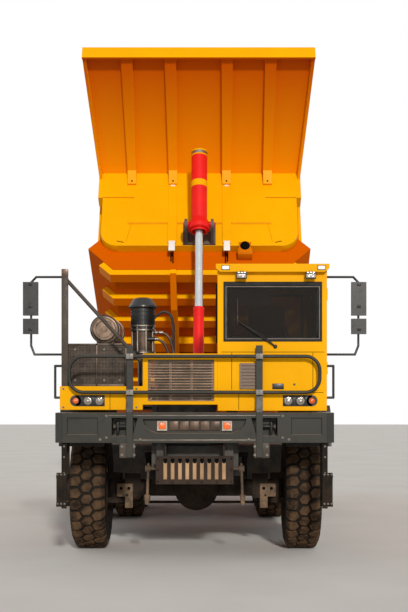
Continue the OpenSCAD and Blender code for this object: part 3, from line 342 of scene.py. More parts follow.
def dress_nodes():
    """Gives every carried-over node the finish of its slot, and rounds the edges of plate work."""
    for entry in frame["record"]["subparts"]:
        node = NODES[entry["node"]]
        node.data.materials.clear()
        node.data.materials.append(NODE_FINISHES.get(entry["node"],
                                                     FINISHES[entry["material_slot"]]))
        if entry["node"] in EDGE_NODES:
            weld = node.modifiers.new("joined", "WELD")
            weld.merge_threshold = 0.00002
            flat = node.modifiers.new("flat_faces", "DECIMATE")
            flat.decimate_type = "DISSOLVE"
            flat.angle_limit = math.radians(0.5)
            edge = node.modifiers.new("eased_edges", "BEVEL")
            edge.width = EDGE_NODES[entry["node"]]
            edge.segments = 2
            edge.limit_method = "ANGLE"
            edge.angle_limit = math.radians(35.0)


# ---- shapes

def forms(count):
    return [bmesh.new() for _ in range(count)]


def circle(count, radius, first=0.0):
    """Points spread evenly round a circle, the first at an angle in degrees."""
    angles = [math.radians(first + i * 360.0 / count) for i in range(count)]
    return [(radius * math.cos(angle), radius * math.sin(angle)) for angle in angles]


def fill(x, y, z, place=FRONT):
    """The matrix that stretches a unit cube between the spans."""
    spans = (x, y, z)
    middle = moved(*((low + high) / 2 for low, high in spans))
    return place @ middle @ Matrix.Diagonal((*(high - low for low, high in spans), 1.0))


def block(form, x, y, z, edge, place=FRONT):
    """A box between the spans, with its edges rounded."""
    made = bmesh.ops.create_cube(form, size=1.0, matrix=fill(x, y, z, place))
    if edge:
        edges = {e for v in made["verts"] for e in v.link_edges}
        bmesh.ops.bevel(form, geom=list(edges), offset=edge, segments=2, profile=0.5,
                        affect="EDGES", material=-1)


def block_pair(form, x, y, z, edge=0.003, place=FRONT):
    """The same box on both sides of the truck."""
    for side in (1, -1):
        block(form, sorted((side * x[0], side * x[1])), y, z, edge, place)


def rod(form, start, end, radius, sides=20, tip=None, place=FRONT):
    start, end = place @ Vector(start), place @ Vector(end)
    turn = (end - start).to_track_quat("Z", "Y").to_matrix().to_4x4()
    bmesh.ops.create_cone(form, cap_ends=True, segments=sides, radius1=radius,
                          radius2=radius if tip is None else tip, depth=(end - start).length,
                          matrix=Matrix.Translation((start + end) / 2) @ turn)


def turned(form, profile, place, steps=48, closed=False):
    """Spins (radius, height) pairs round the local Z axis."""
    points = [form.verts.new(place @ Vector((r, 0.0, h))) for r, h in profile]
    pairs = list(zip(points, points[1:])) + ([(points[-1], points[0])] if closed else [])
    edges = [form.edges.new(pair) for pair in pairs]
    bmesh.ops.spin(form, geom=points + edges, cent=place.translation, dvec=(0.0, 0.0, 0.0),
                   axis=place.to_3x3() @ Vector((0.0, 0.0, 1.0)), angle=math.tau, steps=steps,
                   use_merge=True, use_duplicate=False)


def hoop(form, inner, outer, low, high, slant, place, steps=48):
    """A ring round the local Z axis, with its outer edges slanted."""
    turned(form, [(inner, low), (outer, low + slant), (outer, high - slant), (inner, high)], place,
           steps, closed=True)


def window_rim(form, x, z, width, y0, y1, place=FRONT):
    """A flat frame round an opening, seen from the front of its place."""
    corners = [form.verts.new(place @ Vector((px, y0, pz)))
               for px, pz in ((x[0], z[0]), (x[1], z[0]), (x[1], z[1]), (x[0], z[1]))]
    face = form.faces.new(corners)
    face.normal_update()
    ring = bmesh.ops.inset_region(form, faces=[face], thickness=width, use_boundary=True,
                                  use_even_offset=True)["faces"]
    bmesh.ops.delete(form, geom=[face], context="FACES_ONLY")
    back = bmesh.ops.extrude_face_region(form, geom=ring)["geom"]
    move = place.to_3x3() @ Vector((0.0, y1 - y0, 0.0))
    bmesh.ops.translate(form, verts=[v for v in back if isinstance(v, bmesh.types.BMVert)],
                        vec=move)


def tube(form, points, radius, sides=3):
    """A pipe or hose along a smooth line through the points."""
    line = bpy.data.curves.new("pipe_line", "CURVE")
    line.dimensions = "3D"
    line.bevel_depth = radius
    line.bevel_resolution = sides
    line.resolution_u = 8
    line.use_fill_caps = True
    spline = line.splines.new("BEZIER")
    spline.bezier_points.add(len(points) - 1)
    for knot, point in zip(spline.bezier_points, points):
        knot.co = FRONT @ Vector(point)
        knot.handle_left_type = knot.handle_right_type = "AUTO"
    carrier = bpy.data.objects.new("pipe_line", line)
    form.from_mesh(carrier.to_mesh())
    carrier.to_mesh_clear()
    bpy.data.objects.remove(carrier)
    bpy.data.curves.remove(line)


def bolts(form, places, size, towards=(0, -1, 0), place=FRONT):
    """Hexagon heads on washers, each standing on its place."""
    out = Vector(towards).normalized()
    for point in places:
        point = Vector(point)
        rod(form, point, point + out * 0.003, size * 1.25, 14, place=place)
        rod(form, point + out * 0.003, point + out * (0.003 + size * 0.7), size, 6, size * 0.92,
            place=place)


def mesh_of(form, name):
    mesh = bpy.data.meshes.new(name)
    form.to_mesh(mesh)
    form.free()
    return mesh


def placed(name, data):
    made = bpy.data.objects.new(name, data)
    bpy.context.scene.collection.objects.link(made)
    return made


def grid(xs, y, zs, sides=(1, -1)):
    """Places in rows and columns on a plane that faces the front."""
    return [(side * x, y, z) for side in sides for x in xs for z in zs]


def whole(form, name, slot, paints=None, body="chassis", smooth=35.0):
    """Makes the form a piece: faces outwards, round parts smooth, painted, riding on its body.

    Without paints it has the finish of its slot."""
    bmesh.ops.remove_doubles(form, verts=form.verts, dist=0.00001)
    bmesh.ops.recalc_face_normals(form, faces=form.faces)
    mesh = mesh_of(form, name)
    mesh.shade_smooth()
    mesh.set_sharp_from_angle(angle=math.radians(smooth))
    for paint in paints if isinstance(paints, list) else [paints or FINISHES[slot]]:
        mesh.materials.append(paint)
    made = placed(name, mesh)
    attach(made, body)
    return made


# ---- tyres and wheels

BLOCKS_ROUND = 32
PITCH = math.tau * TYRE_R / BLOCKS_ROUND
# Half of a tyre's section: radius, distance from the middle plane
TYRE_SECTION = [
    (0.318, 0.1445), (0.3395, 0.1447), (0.36, 0.18), (0.378, 0.1905), (0.41, 0.204),
    (0.425, 0.206), (0.429, 0.211), (0.437, 0.211), (0.441, 0.208), (0.468, 0.215),
    (0.548, 0.219), (0.556, 0.2198), (0.59, 0.2195), (0.635, 0.214), (0.66, 0.208),
    (0.685, 0.196), (0.705, 0.175), (0.714, 0.15), (0.718, 0.1)]


def tread_block(form, plan):
    """One tread block. Each corner: along the tread, across it, root and top radius, top across."""

    def on_tyre(along, across, radius):
        angle = along / TYRE_R
        return Vector((across, radius * math.sin(angle), radius * math.cos(angle)))

    middle = sum(corner[0] for corner in plan) / len(plan)
    foot = form.faces.new([form.verts.new(on_tyre(*corner[:3])) for corner in plan])
    grown = bmesh.ops.extrude_face_region(form, geom=[foot])["geom"]
    for vert in (g for g in grown if isinstance(g, bmesh.types.BMVert)):
        corner = min(plan, key=lambda c: (on_tyre(*c[:3]) - vert.co).length)
        vert.co = on_tyre(middle + (corner[0] - middle) * 0.94, corner[4], corner[3])
    top = next(g for g in grown if isinstance(g, bmesh.types.BMFace))
    bmesh.ops.bevel(form, geom=list(top.edges), offset=0.005, segments=1, profile=0.5,
                    affect="EDGES", material=-1)


def tyre_mold():
    """A tyre round the X axis at the origin: turned body, ringed walls, three rows of blocks."""
    form = bmesh.new()
    section = TYRE_SECTION + [(0.7185, 0.0)] + [(r, -w) for r, w in reversed(TYRE_SECTION)]
    turned(form, section, TO_LEFT, steps=72, closed=True)
    bmesh.ops.recalc_face_normals(form, faces=form.faces)
    before = set(form.faces)
    low, high = 0.705, TYRE_R - 0.0036
    centre = [(-0.054, -0.046), (-0.063, 0.028), (0.01, 0.072), (0.063, 0.046), (0.054, -0.028),
              (-0.01, -0.072)]
    tread_block(form, [(s, w, low, high, w * 0.94) for s, w in centre])
    for side in (1, -1):
        half = PITCH / 2
        skew = side * 0.009
        shoulder = [(half + skew, 0.06, low, high, 0.064),
                    (half + 0.06, 0.092 + skew, low, high, 0.096 + skew),
                    (half + 0.062, 0.15, low, high - 0.001, 0.148),
                    (half + 0.05 + skew, 0.213, 0.65, 0.734, 0.176),
                    (half - 0.048 + skew, 0.213, 0.65, 0.734, 0.176),
                    (half - 0.058, 0.15, low, high - 0.001, 0.148),
                    (half - 0.062, 0.094 - skew, low, high, 0.098 - skew)]
        tread_block(form, [(s, side * w, root, top, side * upper)
                           for s, w, root, top, upper in shoulder])
    parts = {face for face in form.faces if face not in before}
    for face in list(parts):
        face.material_index = 1
        parts.update(face.edges, face.verts)
    bmesh.ops.spin(form, geom=list(parts), cent=(0, 0, 0), dvec=(0.0, 0.0, 0.0), axis=(1, 0, 0),
                   angle=math.tau * (BLOCKS_ROUND - 1) / BLOCKS_ROUND, steps=BLOCKS_ROUND - 1,
                   use_merge=False, use_duplicate=True)
    bmesh.ops.recalc_face_normals(form, faces=form.faces)
    return mesh_of(form, "tyre_mold")


def fit_tyres():
    mold = tyre_mold()
    twins = (REAR_TRACK - TWIN_GAP / 2, REAR_TRACK + TWIN_GAP / 2)
    for side, hand in ((1, "left"), (-1, "right")):
        for tyre, wheel, y, places in (("tyre_front_", "wheel_front_", AXLE_Y, (FRONT_TRACK,)),
                                       ("tyres_middle_", "wheels_middle_", MIDDLE_Y, twins),
                                       ("tyres_rear_", "wheels_rear_", REAR_Y, twins)):
            node, form = tyre + hand, bmesh.new()
            for count, x in enumerate(places):
                first = len(form.verts)
                form.from_mesh(mold)
                form.verts.ensure_lookup_table()
                turn = Matrix.Rotation(0.6 + count * 0.05 + y, 4, "X")
                bmesh.ops.transform(form, matrix=moved(side * x, y, WHEEL_Z) @ turn,
                                    verts=form.verts[first:])
            piece = whole(form, "treaded_" + node, "tyre", [FINISHES["tyre"], DUSTY_TREAD],
                          wheel + hand, 28.0)
            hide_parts(node)
    bpy.data.meshes.remove(mold)


def fit_wheel_nuts():
    """Nuts and hub caps on every wheel."""
    rear_disc = REAR_TRACK + TWIN_GAP / 2 - 0.085
    for side, hand in ((1, "left"), (-1, "right")):
        for body, y, disc, nut_circle, hub_end, hub_r in (
                ("wheel_front_", AXLE_Y, FRONT_TRACK + 0.045, 0.152, 1.45, 0.12),
                ("wheels_middle_", MIDDLE_Y, rear_disc, 0.166, 1.585, 0.15),
                ("wheels_rear_", REAR_Y, rear_disc, 0.166, 1.585, 0.15)):
            nuts, cap = forms(2)
            for x, ring, size in ((disc, circle(10, nut_circle, 18.0), 0.013),
                                  (hub_end + 0.014, circle(8, hub_r * 0.78), 0.009)):
                bolts(nuts, [(side * x, y + b, WHEEL_Z + a) for a, b in ring], size, (side, 0, 0),
                      HERE)
            whole(nuts, f"nuts_{body}{hand}", "chrome", BOLT, body + hand)
            place = moved(side * hub_end, y, WHEEL_Z) @ rotated(90.0 * side, "Y")
            turned(cap, [(0.0, 0.03), (hub_r * 0.38, 0.03), (hub_r * 0.46, 0.016),
                         (hub_r * 0.95, 0.014), (hub_r * 0.98, 0.008), (hub_r * 0.98, 0.0),
                         (0.0, 0.0)], place, 40)
            whole(cap, f"hub_cap_{body}{hand}", "rim_paint", body=body + hand)


# ---- lamps

def fit_lamps():
    """Every lamp in its housing, in place of the plain solids."""
    bezels, clear, amber, bright, white, tail, red = forms(7)
    row = 1.835
    for x in (-1.35, -1.21, -1.08, 1.06, 1.2, 1.33):
        lens, radius = (amber, 0.04) if abs(x) > 1.3 else (clear, 0.055)
        place = FRONT @ moved(x, CAB_FACE, row) @ TO_FRONT
        turned(bezels, [(radius * 0.8, 0.0), (radius * 1.06, 0.0), (radius * 1.06, 0.014),
                        (radius * 0.98, 0.021), (radius * 0.86, 0.021), (radius * 0.8, 0.01)],
               place, 32, closed=True)
        turned(lens, [(0.0, 0.021), (radius * 0.3, 0.02), (radius * 0.6, 0.017),
                      (radius * 0.81, 0.012), (radius * 0.81, 0.0), (0.0, 0.0)], place, 32)
        turned(bright, [(radius * 0.34, 0.018), (radius * 0.4, 0.0225), (radius * 0.46, 0.018)],
               place, 32, closed=True)
    for side in (1, -1):
        # Black plates that the clusters stand on, with a rounded outer end
        inner, outer = (1.0, 1.33) if side > 0 else (1.02, 1.35)
        block(bezels, sorted((side * inner, side * outer)), (CAB_FACE - 0.004, CAB_FACE),
              (1.772, 1.898), 0.0015)
        rod(bezels, (side * outer, CAB_FACE - 0.004, row), (side * outer, CAB_FACE, row), 0.063, 32)
        # Flashers in bright frames
        middle = side * 0.365
        window_rim(bright, (middle - 0.056, middle + 0.056), (1.498, 1.606), 0.016, -1.49, -1.46)
        block(amber, (middle - 0.04, middle + 0.04), (-1.487, -1.46), (1.514, 1.59), 0.006)
        for step in (-0.013, 0.013):
            block(amber, (middle + step - 0.0015, middle + step + 0.0015), (-1.4895, -1.486),
                  (1.516, 1.588), 0.0)
    # Lamps over the windscreen: finned housings with bright faces
    for x in (0.47, 1.25):
        block(bezels, (x, x + 0.12), (-1.5, -1.462), (3.208, 3.29), 0.008)
        for i in range(5):
            block(bezels, (x + 0.012 + i * 0.022, x + 0.018 + i * 0.022), (-1.464, -1.452),
                  (3.212, 3.286), 0.0)
        block(bezels, (x + 0.045, x + 0.075), (-1.48, -1.46), (3.286, 3.3), 0.002)
        block(clear, (x + 0.008, x + 0.112), (-1.506, -1.498), (3.216, 3.262), 0.003)
        for i in range(3):
            block(bright, (x + 0.012 + i * 0.034, x + 0.038 + i * 0.034), (-1.508, -1.504),
                  (3.268, 3.284), 0.001)
    for x in (0.31, 1.39):
        block(bezels, (x - 0.006, x + 0.086), (-1.486, -1.48), (3.309, 3.361), 0.002)
        block(white, (x, x + 0.08), (-1.498, -1.484), (3.315, 3.355), 0.008)
    piece = whole(bezels, "lamp_housings", "black_plastic")
    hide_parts("lamps")
    whole(clear, "headlamp_lenses", "lamp_lens")
    whole(amber, "flasher_lenses", "lamp_lens", AMBER)
    whole(bright, "lamp_bright_rims", "chrome", BRIGHT)
    whole(white, "marker_lenses", "lamp_lens", WHITE_LENS)
    # Rear lamps: a housing on each side with three lenses
    y0 = 6.644
    block_pair(tail, (0.52, 0.74), (y0, y0 + 0.04), (0.955, 1.045), 0.008)
    for near in (0.532, 0.6, 0.668):
        block_pair(red, (near, near + 0.06), (y0 + 0.034, y0 + 0.05), (0.967, 1.033), 0.006)
    whole(tail, "rear_lamp_housings", "black_plastic")
    whole(red, "rear_lamp_lenses", "lamp_lens", RED_LENS)


# ---- front: screens, bumper, guard

def wires(form, x, y, z, pitch, thick):
    """A woven screen that faces forwards: upright wires, and cross wires just behind them."""
    upright = int((x[1] - x[0]) / pitch)
    for i in range(upright + 1):
        at = x[0] + i * (x[1] - x[0]) / upright
        block(form, (at - thick / 2, at + thick / 2), (y, y + thick), z, 0.0)
    across = int((z[1] - z[0]) / pitch)
    for i in range(across + 1):
        at = z[0] + i * (z[1] - z[0]) / across
        block(form, x, (y + thick * 0.6, y + thick * 1.6), (at - thick / 2, at + thick / 2), 0.0)


def fit_screens():
    mesh, side, studs, seams, trim = forms(5)
    wires(mesh, (-0.53, 0.22), -1.3935, (1.832, 2.298), 0.0125, 0.0032)
    whole(mesh, "grille_screen", "black_metal", SCREEN_WIRE)
    wires(side, (-1.495, -0.805), -1.0085, (2.006, 2.494), 0.0165, 0.005)
    for z in ((2.0, 2.022), (2.478, 2.5)):
        block(side, (-1.5, -0.8), (-1.013, -1.0), z, 0.002)
    for x in ((-1.5, -1.478), (-1.16, -1.14), (-0.822, -0.8)):
        block(side, x, (-1.013, -1.0), (2.0, 2.5), 0.002)
    whole(side, "side_screen_face", "black_metal", SCREEN_WIRE)
    bolts(studs, grid((-1.4, -1.06, -0.88), -1.013, (2.07, 2.43), (1,)), 0.012)
    # Seams and fasteners of the yellow panels
    bolts(studs, grid((-1.49, -0.66), CAB_FACE, (1.76, 1.97), (1,)), 0.01)
    whole(studs, "screen_bolts", "chrome", BOLT)
    seam = (CAB_FACE - 0.0008, CAB_FACE)
    for x, z in ((-0.96, (1.735, 1.945)), (0.5, (1.735, 1.945)), (0.42, (1.96, 2.38)),
                 (1.34, (1.96, 2.38))):
        block(seams, (x - 0.003, x + 0.003), seam, z, 0.0)
    for x, z in (((0.3, 1.47), 2.384), ((0.9, 1.46), 1.925)):
        block(seams, x, seam, (z, z + 0.006), 0.0)
    whole(seams, "panel_seams", "black_metal", DARK_HOLE)
    # A latch plate and a key hole beside the louvred inlet
    block(trim, (0.88, 1.01), (CAB_FACE - 0.008, CAB_FACE), (1.965, 2.03), 0.004)
    rod(trim, (1.13, CAB_FACE - 0.006, 2.02), (1.13, CAB_FACE, 2.02), 0.012, 16)
    whole(trim, "panel_latches", "black_plastic")


def fit_bumper():
    """Fastenings, tow pins and painted highlights of the bumper, and what lies below and behind it.
    """
    studs, bars, dark, clamps, edge_highlights, pads, plate, slot_shadows, guard, holes, plates = forms(11)
    bolts(studs, grid((0.99,), BUMPER_FACE, (1.665, 1.42))
          + grid((0.61, 1.06), BUMPER_FACE, (1.4,)), 0.012)
    # Clamps that hold each flat post to the bumper and the loop
    for z in (1.93, 2.335):
        block_pair(clamps, (0.69, 0.77), (-1.524, -1.519), (z - 0.03, z + 0.03), 0.002)
        bolts(studs, grid((0.73,), -1.524, (z - 0.018, z + 0.018)), 0.007)
    # Brackets under the bumper behind the posts' feet
    block_pair(bars, (0.668, 0.846), (-1.518, -1.5), (1.19, 1.372), 0.01)
    bolts(studs, grid((0.68, 0.815), -1.518, (1.225, 1.32)), 0.014)
    # Tow pins between their cheeks, behind the windows
    for x in (0.665, 0.85):
        block_pair(dark, (x, x + 0.03), (-1.496, -1.402), (1.462, 1.6), 0.012)
    for side in (1, -1):
        rod(dark, (side * 0.65, -1.46, 1.545), (side * 0.9, -1.46, 1.545), 0.022)
        rod(bars, (side * 0.895, -1.46, 1.545), (side * 0.915, -1.46, 1.545), 0.03, 6)
        line = ((0.66, -1.42, 1.44), (0.655, -1.47, 1.5), (0.7, -1.49, 1.62), (0.78, -1.48, 1.632),
                (0.9, -1.45, 1.6), (0.915, -1.42, 1.47))
        tube(dark, [(side * x, y, z) for x, y, z in line], 0.01)
    # Painted highlights on the bumper's rounded edges: one line between the posts, and one along
    # its top
    block(edge_highlights, (-0.69, 0.69), (BUMPER_FACE - 0.003, BUMPER_FACE + 0.004), (1.386, 1.399), 0.002)
    block(edge_highlights, (-0.965, 0.965), (BUMPER_FACE - 0.002, BUMPER_FACE + 0.004), (1.664, 1.674), 0.002)
    whole(edge_highlights, "bumper_painted_highlights", "bumper_paint", PALE_TRIM_AND_HIGHLIGHT)
    # Five plain pads between the flashers
    for x in (-0.285, -0.168, -0.051, 0.066, 0.183):
        block(pads, (x, x + 0.103), (-1.473, -1.46), (1.5, 1.604), 0.004)
    whole(pads, "bumper_pads", "bracket_grey", BROWN_METAL)
    whole(studs, "bumper_bolts", "chrome", BOLT)
    whole(clamps, "post_clamps", "bracket_grey", CLAMP_GREY)
    whole(bars, "bumper_brackets", "bracket_grey", POST_PAINT)
    whole(dark, "tow_pins", "black_metal")
    # The sump plate whose sunlit face shows through the guard's slots
    x, y = (-0.38, 0.38), (-1.425, -1.421)
    block(plate, x, y, (0.94, 1.15), 0.001)
    whole(plate, "sump_plate", "frame_paint", SANDY_PLATE)
    # Painted shadow: dark rounded tops of the slots and a dark band over the plate, where the guard
    # shades it
    for i in range(-4, 5):
        rod(slot_shadows, (i * 0.083, -1.4245, 1.146), (i * 0.083, -1.4256, 1.146), 0.0205)
    block(slot_shadows, x, y, (1.15, 1.19), 0.001)
    whole(slot_shadows, "guard_slot_painted_shadows", "frame_paint", DARK_HOLE)
    bolts(guard, grid((0.415,), -1.44, (0.92, 1.05, 1.18))
          + grid((0.08, 0.25), -1.44, (0.912,)), 0.009)
    bolts(guard, grid((0.72, 0.855), -0.125, (0.66, 0.9)), 0.016)
    whole(guard, "guard_bolts", "frame_paint", DUSTY_AXLE_PAINTED_SHADE)
    # Housing plates at the axle's ends, brown with dust
    for outer, z in ((0.985, (0.64, 0.805)), (0.885, (0.5, 0.65))):
        block_pair(plates, (0.785, outer), (-0.132, -0.1), z, 0.012)
    for side in (1, -1):
        for x in (0.835, 0.93):
            rod(holes, (side * x, -0.134, 0.745), (side * x, -0.128, 0.745), 0.02)
        bolts(plates, [(side * x, -0.132, z) for x, z in (
            (0.81, 0.54), (0.86, 0.61), (0.965, 0.665), (0.88, 0.785))], 0.013)
        # Links beside the guard, each held by a pin on the guard's bracket
        for start, end, shape in (((0.53, 1.12), (0.545, 0.7), (0.016, 16)),
                                  ((0.335, 1.06), (0.56, 1.06), (0.018, 16)),
                                  ((0.335, 1.15), (0.4, 1.15), (0.03,)),
                                  ((0.505, 1.06), (0.565, 1.06), (0.036,)),
                                  ((0.545, 0.76), (0.548, 0.65), (0.034, 20, 0.022))):
            rod(plates, (side * start[0], -1.3, start[1]), (side * end[0], -1.3, end[1]), *shape)
    whole(holes, "axle_plate_holes", "black_metal", DARK_HOLE)
    whole(plates, "axle_end_plates", "frame_paint", DUSTY_PLATE)


def fit_steps():
    """Cheeks, bolts and gripping studs on the side steps."""
    studs, grips, cheeks = forms(3)
    bolts(studs, grid((1.47,), -1.49, (0.7, 0.76, 0.88, 1.02, 1.2, 1.32))
          + grid((1.462, 1.502, 1.542), -1.5, (0.675, 1.005)), 0.009)
    for k in range(7):
        for x, y, z in grid((1.46, 1.5, 1.54), -1.47 + k * 0.044, (0.68, 1.0)):
            rod(grips, (x, y, z), (x, y, z + 0.004), 0.008, 10, 0.005)
    block_pair(cheeks, (1.448, 1.556), (-1.5, -1.488), (0.655, 1.025), 0.006)
    for x in (1.48, 1.524):
        block_pair(cheeks, (x - 0.006, x + 0.006), (-1.506, -1.498), (0.72, 0.98))
    whole(cheeks, "step_cheeks", "bumper_paint", DUSTY_AXLE_PAINTED_SHADE)
    whole(studs, "step_bolts", "chrome", BOLT)
    whole(grips, "step_grips", "chrome", BRIGHT)


# ---- cab

def fit_cab():
    rims, trim, door, pull, arm = forms(5)
    window_rim(rims, (0.326, 1.444), (2.506, 3.184), 0.046, CAB_FACE - 0.006, CAB_FACE + 0.03)
    side = FRONT @ rotated(90.0, "Z")
    window_rim(rims, (-1.154, 0.154), (2.556, 3.184), 0.04, -0.266, -0.24, side)
    window_rim(rims, (-1.364, -0.396), (2.556, 3.184), 0.04, -0.356, -0.33,
               FRONT @ rotated(180.0, "Z"))
    whole(rims, "window_seals", "black_plastic", SEAL)
    window_rim(trim, (0.352, 1.418), (2.534, 3.13), 0.006, CAB_FACE - 0.0085, CAB_FACE - 0.0062)
    whole(trim, "windscreen_trim", "bracket_grey", PALE_TRIM_AND_HIGHLIGHT)
    window_rim(door, (-1.084, 0.064), (2.596, 3.224), 0.036, 1.44, 1.506,
               side @ Matrix.Diagonal((1, -1, 1, 1)))
    rod(door, (1.501, -0.01, 2.345), (1.506, -0.01, 2.345), 0.016)
    whole(door, "door_seal", "black_plastic", SEAL, "cab_door")
    tube(pull, [(1.5, 0.11, 2.38), (1.534, 0.106, 2.39), (1.538, 0.104, 2.46),
                (1.534, 0.106, 2.53), (1.5, 0.11, 2.54)], 0.01)
    whole(pull, "door_pull", "black_plastic", body="cab_door")
    # Blade, arm and spindle of the wiper
    y = CAB_FACE - 0.022
    turned(arm, [(0.0, 0.034), (0.012, 0.034), (0.02, 0.026), (0.022, 0.0), (0.0, 0.0)],
           FRONT @ moved(0.915, CAB_FACE, 2.45) @ TO_FRONT, 24)
    tube(arm, [(0.915, y, 2.45), (0.77, y - 0.004, 2.548), (0.485, y - 0.002, 2.74)], 0.009)
    tube(arm, [(0.915, y - 0.002, 2.45), (0.745, y - 0.004, 2.59), (0.57, y - 0.004, 2.683)], 0.006)
    block(arm, (0.477, 0.493), (y - 0.01, y + 0.002), (2.69, 2.8), 0.003)
    block(arm, (0.481, 0.489), (y + 0.002, y + 0.012), (2.67, 2.99), 0.001)
    blade = whole(arm, "wiper_arm_and_blade", "black_metal")
    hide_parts("wiper")


def cushion(name, x, y, z, crown):
    """A stuffed pad: crowned faces, sides pulled in between the corners, and two sewn channels."""
    form = bmesh.new()
    bmesh.ops.create_cube(form, size=1.0)
    bmesh.ops.subdivide_edges(form, edges=form.edges[:], cuts=9, use_grid_fill=True)
    for vert in form.verts:
        p = vert.co * 2.0
        fall = (1.0 - p.x ** 4) * (1.0 - p.y ** 4) * (1.0 - p.z ** 4)
        edge = sum(1 for value in p if abs(value) > 0.95)
        if edge >= 2:
            vert.co *= 0.95
        channel = math.exp(-((abs(p.x) - 0.42) / 0.06) ** 2)
        swell = 1.0 + crown * (1.0 - p.x * p.x) * (1.0 - p.z * p.z)
        vert.co.y *= 0.9 * swell * (1.0 - 0.1 * channel) if abs(p.y) > 0.95 else 1.0
        vert.co.z *= 0.94 * (1.0 - 0.08 * channel) if abs(p.z) > 0.95 else 1.0
        vert.co.x *= 0.97 - 0.02 * fall
    bmesh.ops.transform(form, matrix=fill(x, y, z), verts=form.verts)
    made = whole(form, name, "interior", SEAT_CLOTH, smooth=80.0)
    smooth = made.modifiers.new("stuffed", "SUBSURF")
    smooth.levels = smooth.render_levels = 1


def fit_cab_inside():
    desk, blind = forms(2)
    for x, y, z, edge in (((0.33, 1.43), (-1.35, -1.08), (2.29, 2.47), 0.03),
                          ((0.7, 1.05), (-1.23, -1.05), (2.4, 2.52), 0.03),
                          ((0.42, 0.64), (-1.2, -1.08), (2.3, 2.56), 0.02),
                          ((0.7, 1.04), (-0.6, -0.2), (2.0, 2.23), 0.02)):
        block(desk, x, y, z, edge)
    wheel = FRONT @ moved(0.87, -0.8, 2.62) @ rotated(58.0, "X")
    turned(desk, [(0.215 + a, b) for a, b in circle(12, 0.014)], wheel, closed=True)
    turned(desk, [(0.0, 0.022), (0.05, 0.018), (0.062, 0.0), (0.05, -0.02), (0.0, -0.03)],
           wheel, 24)
    for a, b in circle(3, 0.212, 30.0):
        rod(desk, (0.0, 0.0, 0.0), (a, b, 0.0), 0.011, 12, place=wheel)
    rod(desk, (0.87, -1.09, 2.44), (0.87, -0.8, 2.62), 0.025)
    trim = whole(desk, "dashboard_and_wheel", "interior")
    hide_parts("cab_interior")
    cushion("seat_cushion", (0.62, 1.12), (-0.64, -0.12), (2.232, 2.395), 0.0)
    cushion("seat_backrest", (0.64, 1.1), (-0.22, -0.105), (2.4, 2.99), 0.25)
    rod(blind, (0.36, -1.352, 3.12), (1.41, -1.352, 3.12), 0.02)
    block(blind, (0.395, 0.86), (-1.352, -1.349), (2.93, 3.115), 0.0)
    rod(blind, (0.395, -1.35, 2.93), (0.86, -1.35, 2.93), 0.006, 12)
    whole(blind, "roller_blind", "interior", BLIND)


def fit_mirrors():
    """Mirror glass on the faces that look back, clamps on the arms, and the tall post's faces."""
    glass, clamps, post, plate = forms(4)
    for x in (1.86, -1.86):
        for z0, z1 in ((2.81, 3.17), (2.598, 2.757)):
            block(glass, (x - 0.075, x + 0.075), (-1.374, -1.369), (z0, z1), 0.002)
        for z in (3.15, 2.9, 2.64):
            block(clamps, (x - 0.022, x + 0.022), (-1.424, -1.417), (z - 0.015, z + 0.015), 0.002)
    whole(glass, "mirror_faces", "glass", MIRROR_GLASS)
    whole(clamps, "mirror_clamps", "black_metal")
    x, y = (-1.512, -1.438), (-1.392, -1.348)
    block(post, x, y, (2.004, 3.25), 0.004)
    rod(post, (-1.475, -1.37, 3.23), (-0.575, -1.318, 2.235), 0.0212, 24)
    for z in (2.45, 2.9):
        rod(post, (-1.475, -1.396, z), (-1.475, -1.39, z), 0.01, 16)
    whole(post, "mirror_post_and_brace", "bracket_grey", POST_PAINT)
    block(plate, x, y, (3.25, 3.329), 0.004)
    whole(plate, "mirror_post_cap", "chrome", BROWN_METAL)


# ---- engine side

def fit_air_cleaner():
    at = FRONT @ moved(-0.64, -0.5, 0.0)
    brown, bright, black = forms(3)
    turned(brown, [(0.148, 2.33), (0.152, 2.334), (0.121, 2.448), (0.1295, 2.452), (0.1295, 2.668),
                   (0.126, 2.668), (0.126, 2.452), (0.116, 2.448)], at, closed=True)
    for z in (2.4, 2.67, 2.72):
        hoop(bright, 0.149, 0.1525, z + 0.002, z + 0.02, 0.002, at)
    for x, y in circle(8, 0.1345, 20.0):
        rod(bright, (x, y, 2.402), (x, y, 2.698), 0.0125, 14, place=at)
        rod(bright, (x * 1.07, y * 1.07, 2.69), (x * 1.07, y * 1.07, 2.745), 0.006, 8, place=at)
    for i in range(36):
        block(black, (0.138, 0.1445), (-0.003, 0.003), (2.752, 2.94), 0.001,
              at @ rotated(10.0 * i, "Z"))
    for z in (2.75, 2.8, 2.85, 2.9, 2.942):
        hoop(black, 0.139, 0.1465, z - 0.004, z + 0.004, 0.001, at)
    turned(black, [(0.15, 2.948), (0.172, 2.95), (0.174, 2.956), (0.172, 2.962), (0.15, 2.964)],
           at, closed=True)
    rod(black, (0.0, 0.0, 3.07), (0.0, 0.0, 3.078), 0.02, 16, place=at)
    whole(brown, "air_cleaner_bowl", "exhaust_steel", BROWN_METAL)
    whole(bright, "air_cleaner_clamps", "chrome", BRIGHT)
    whole(black, "air_cleaner_louvres", "black_metal")


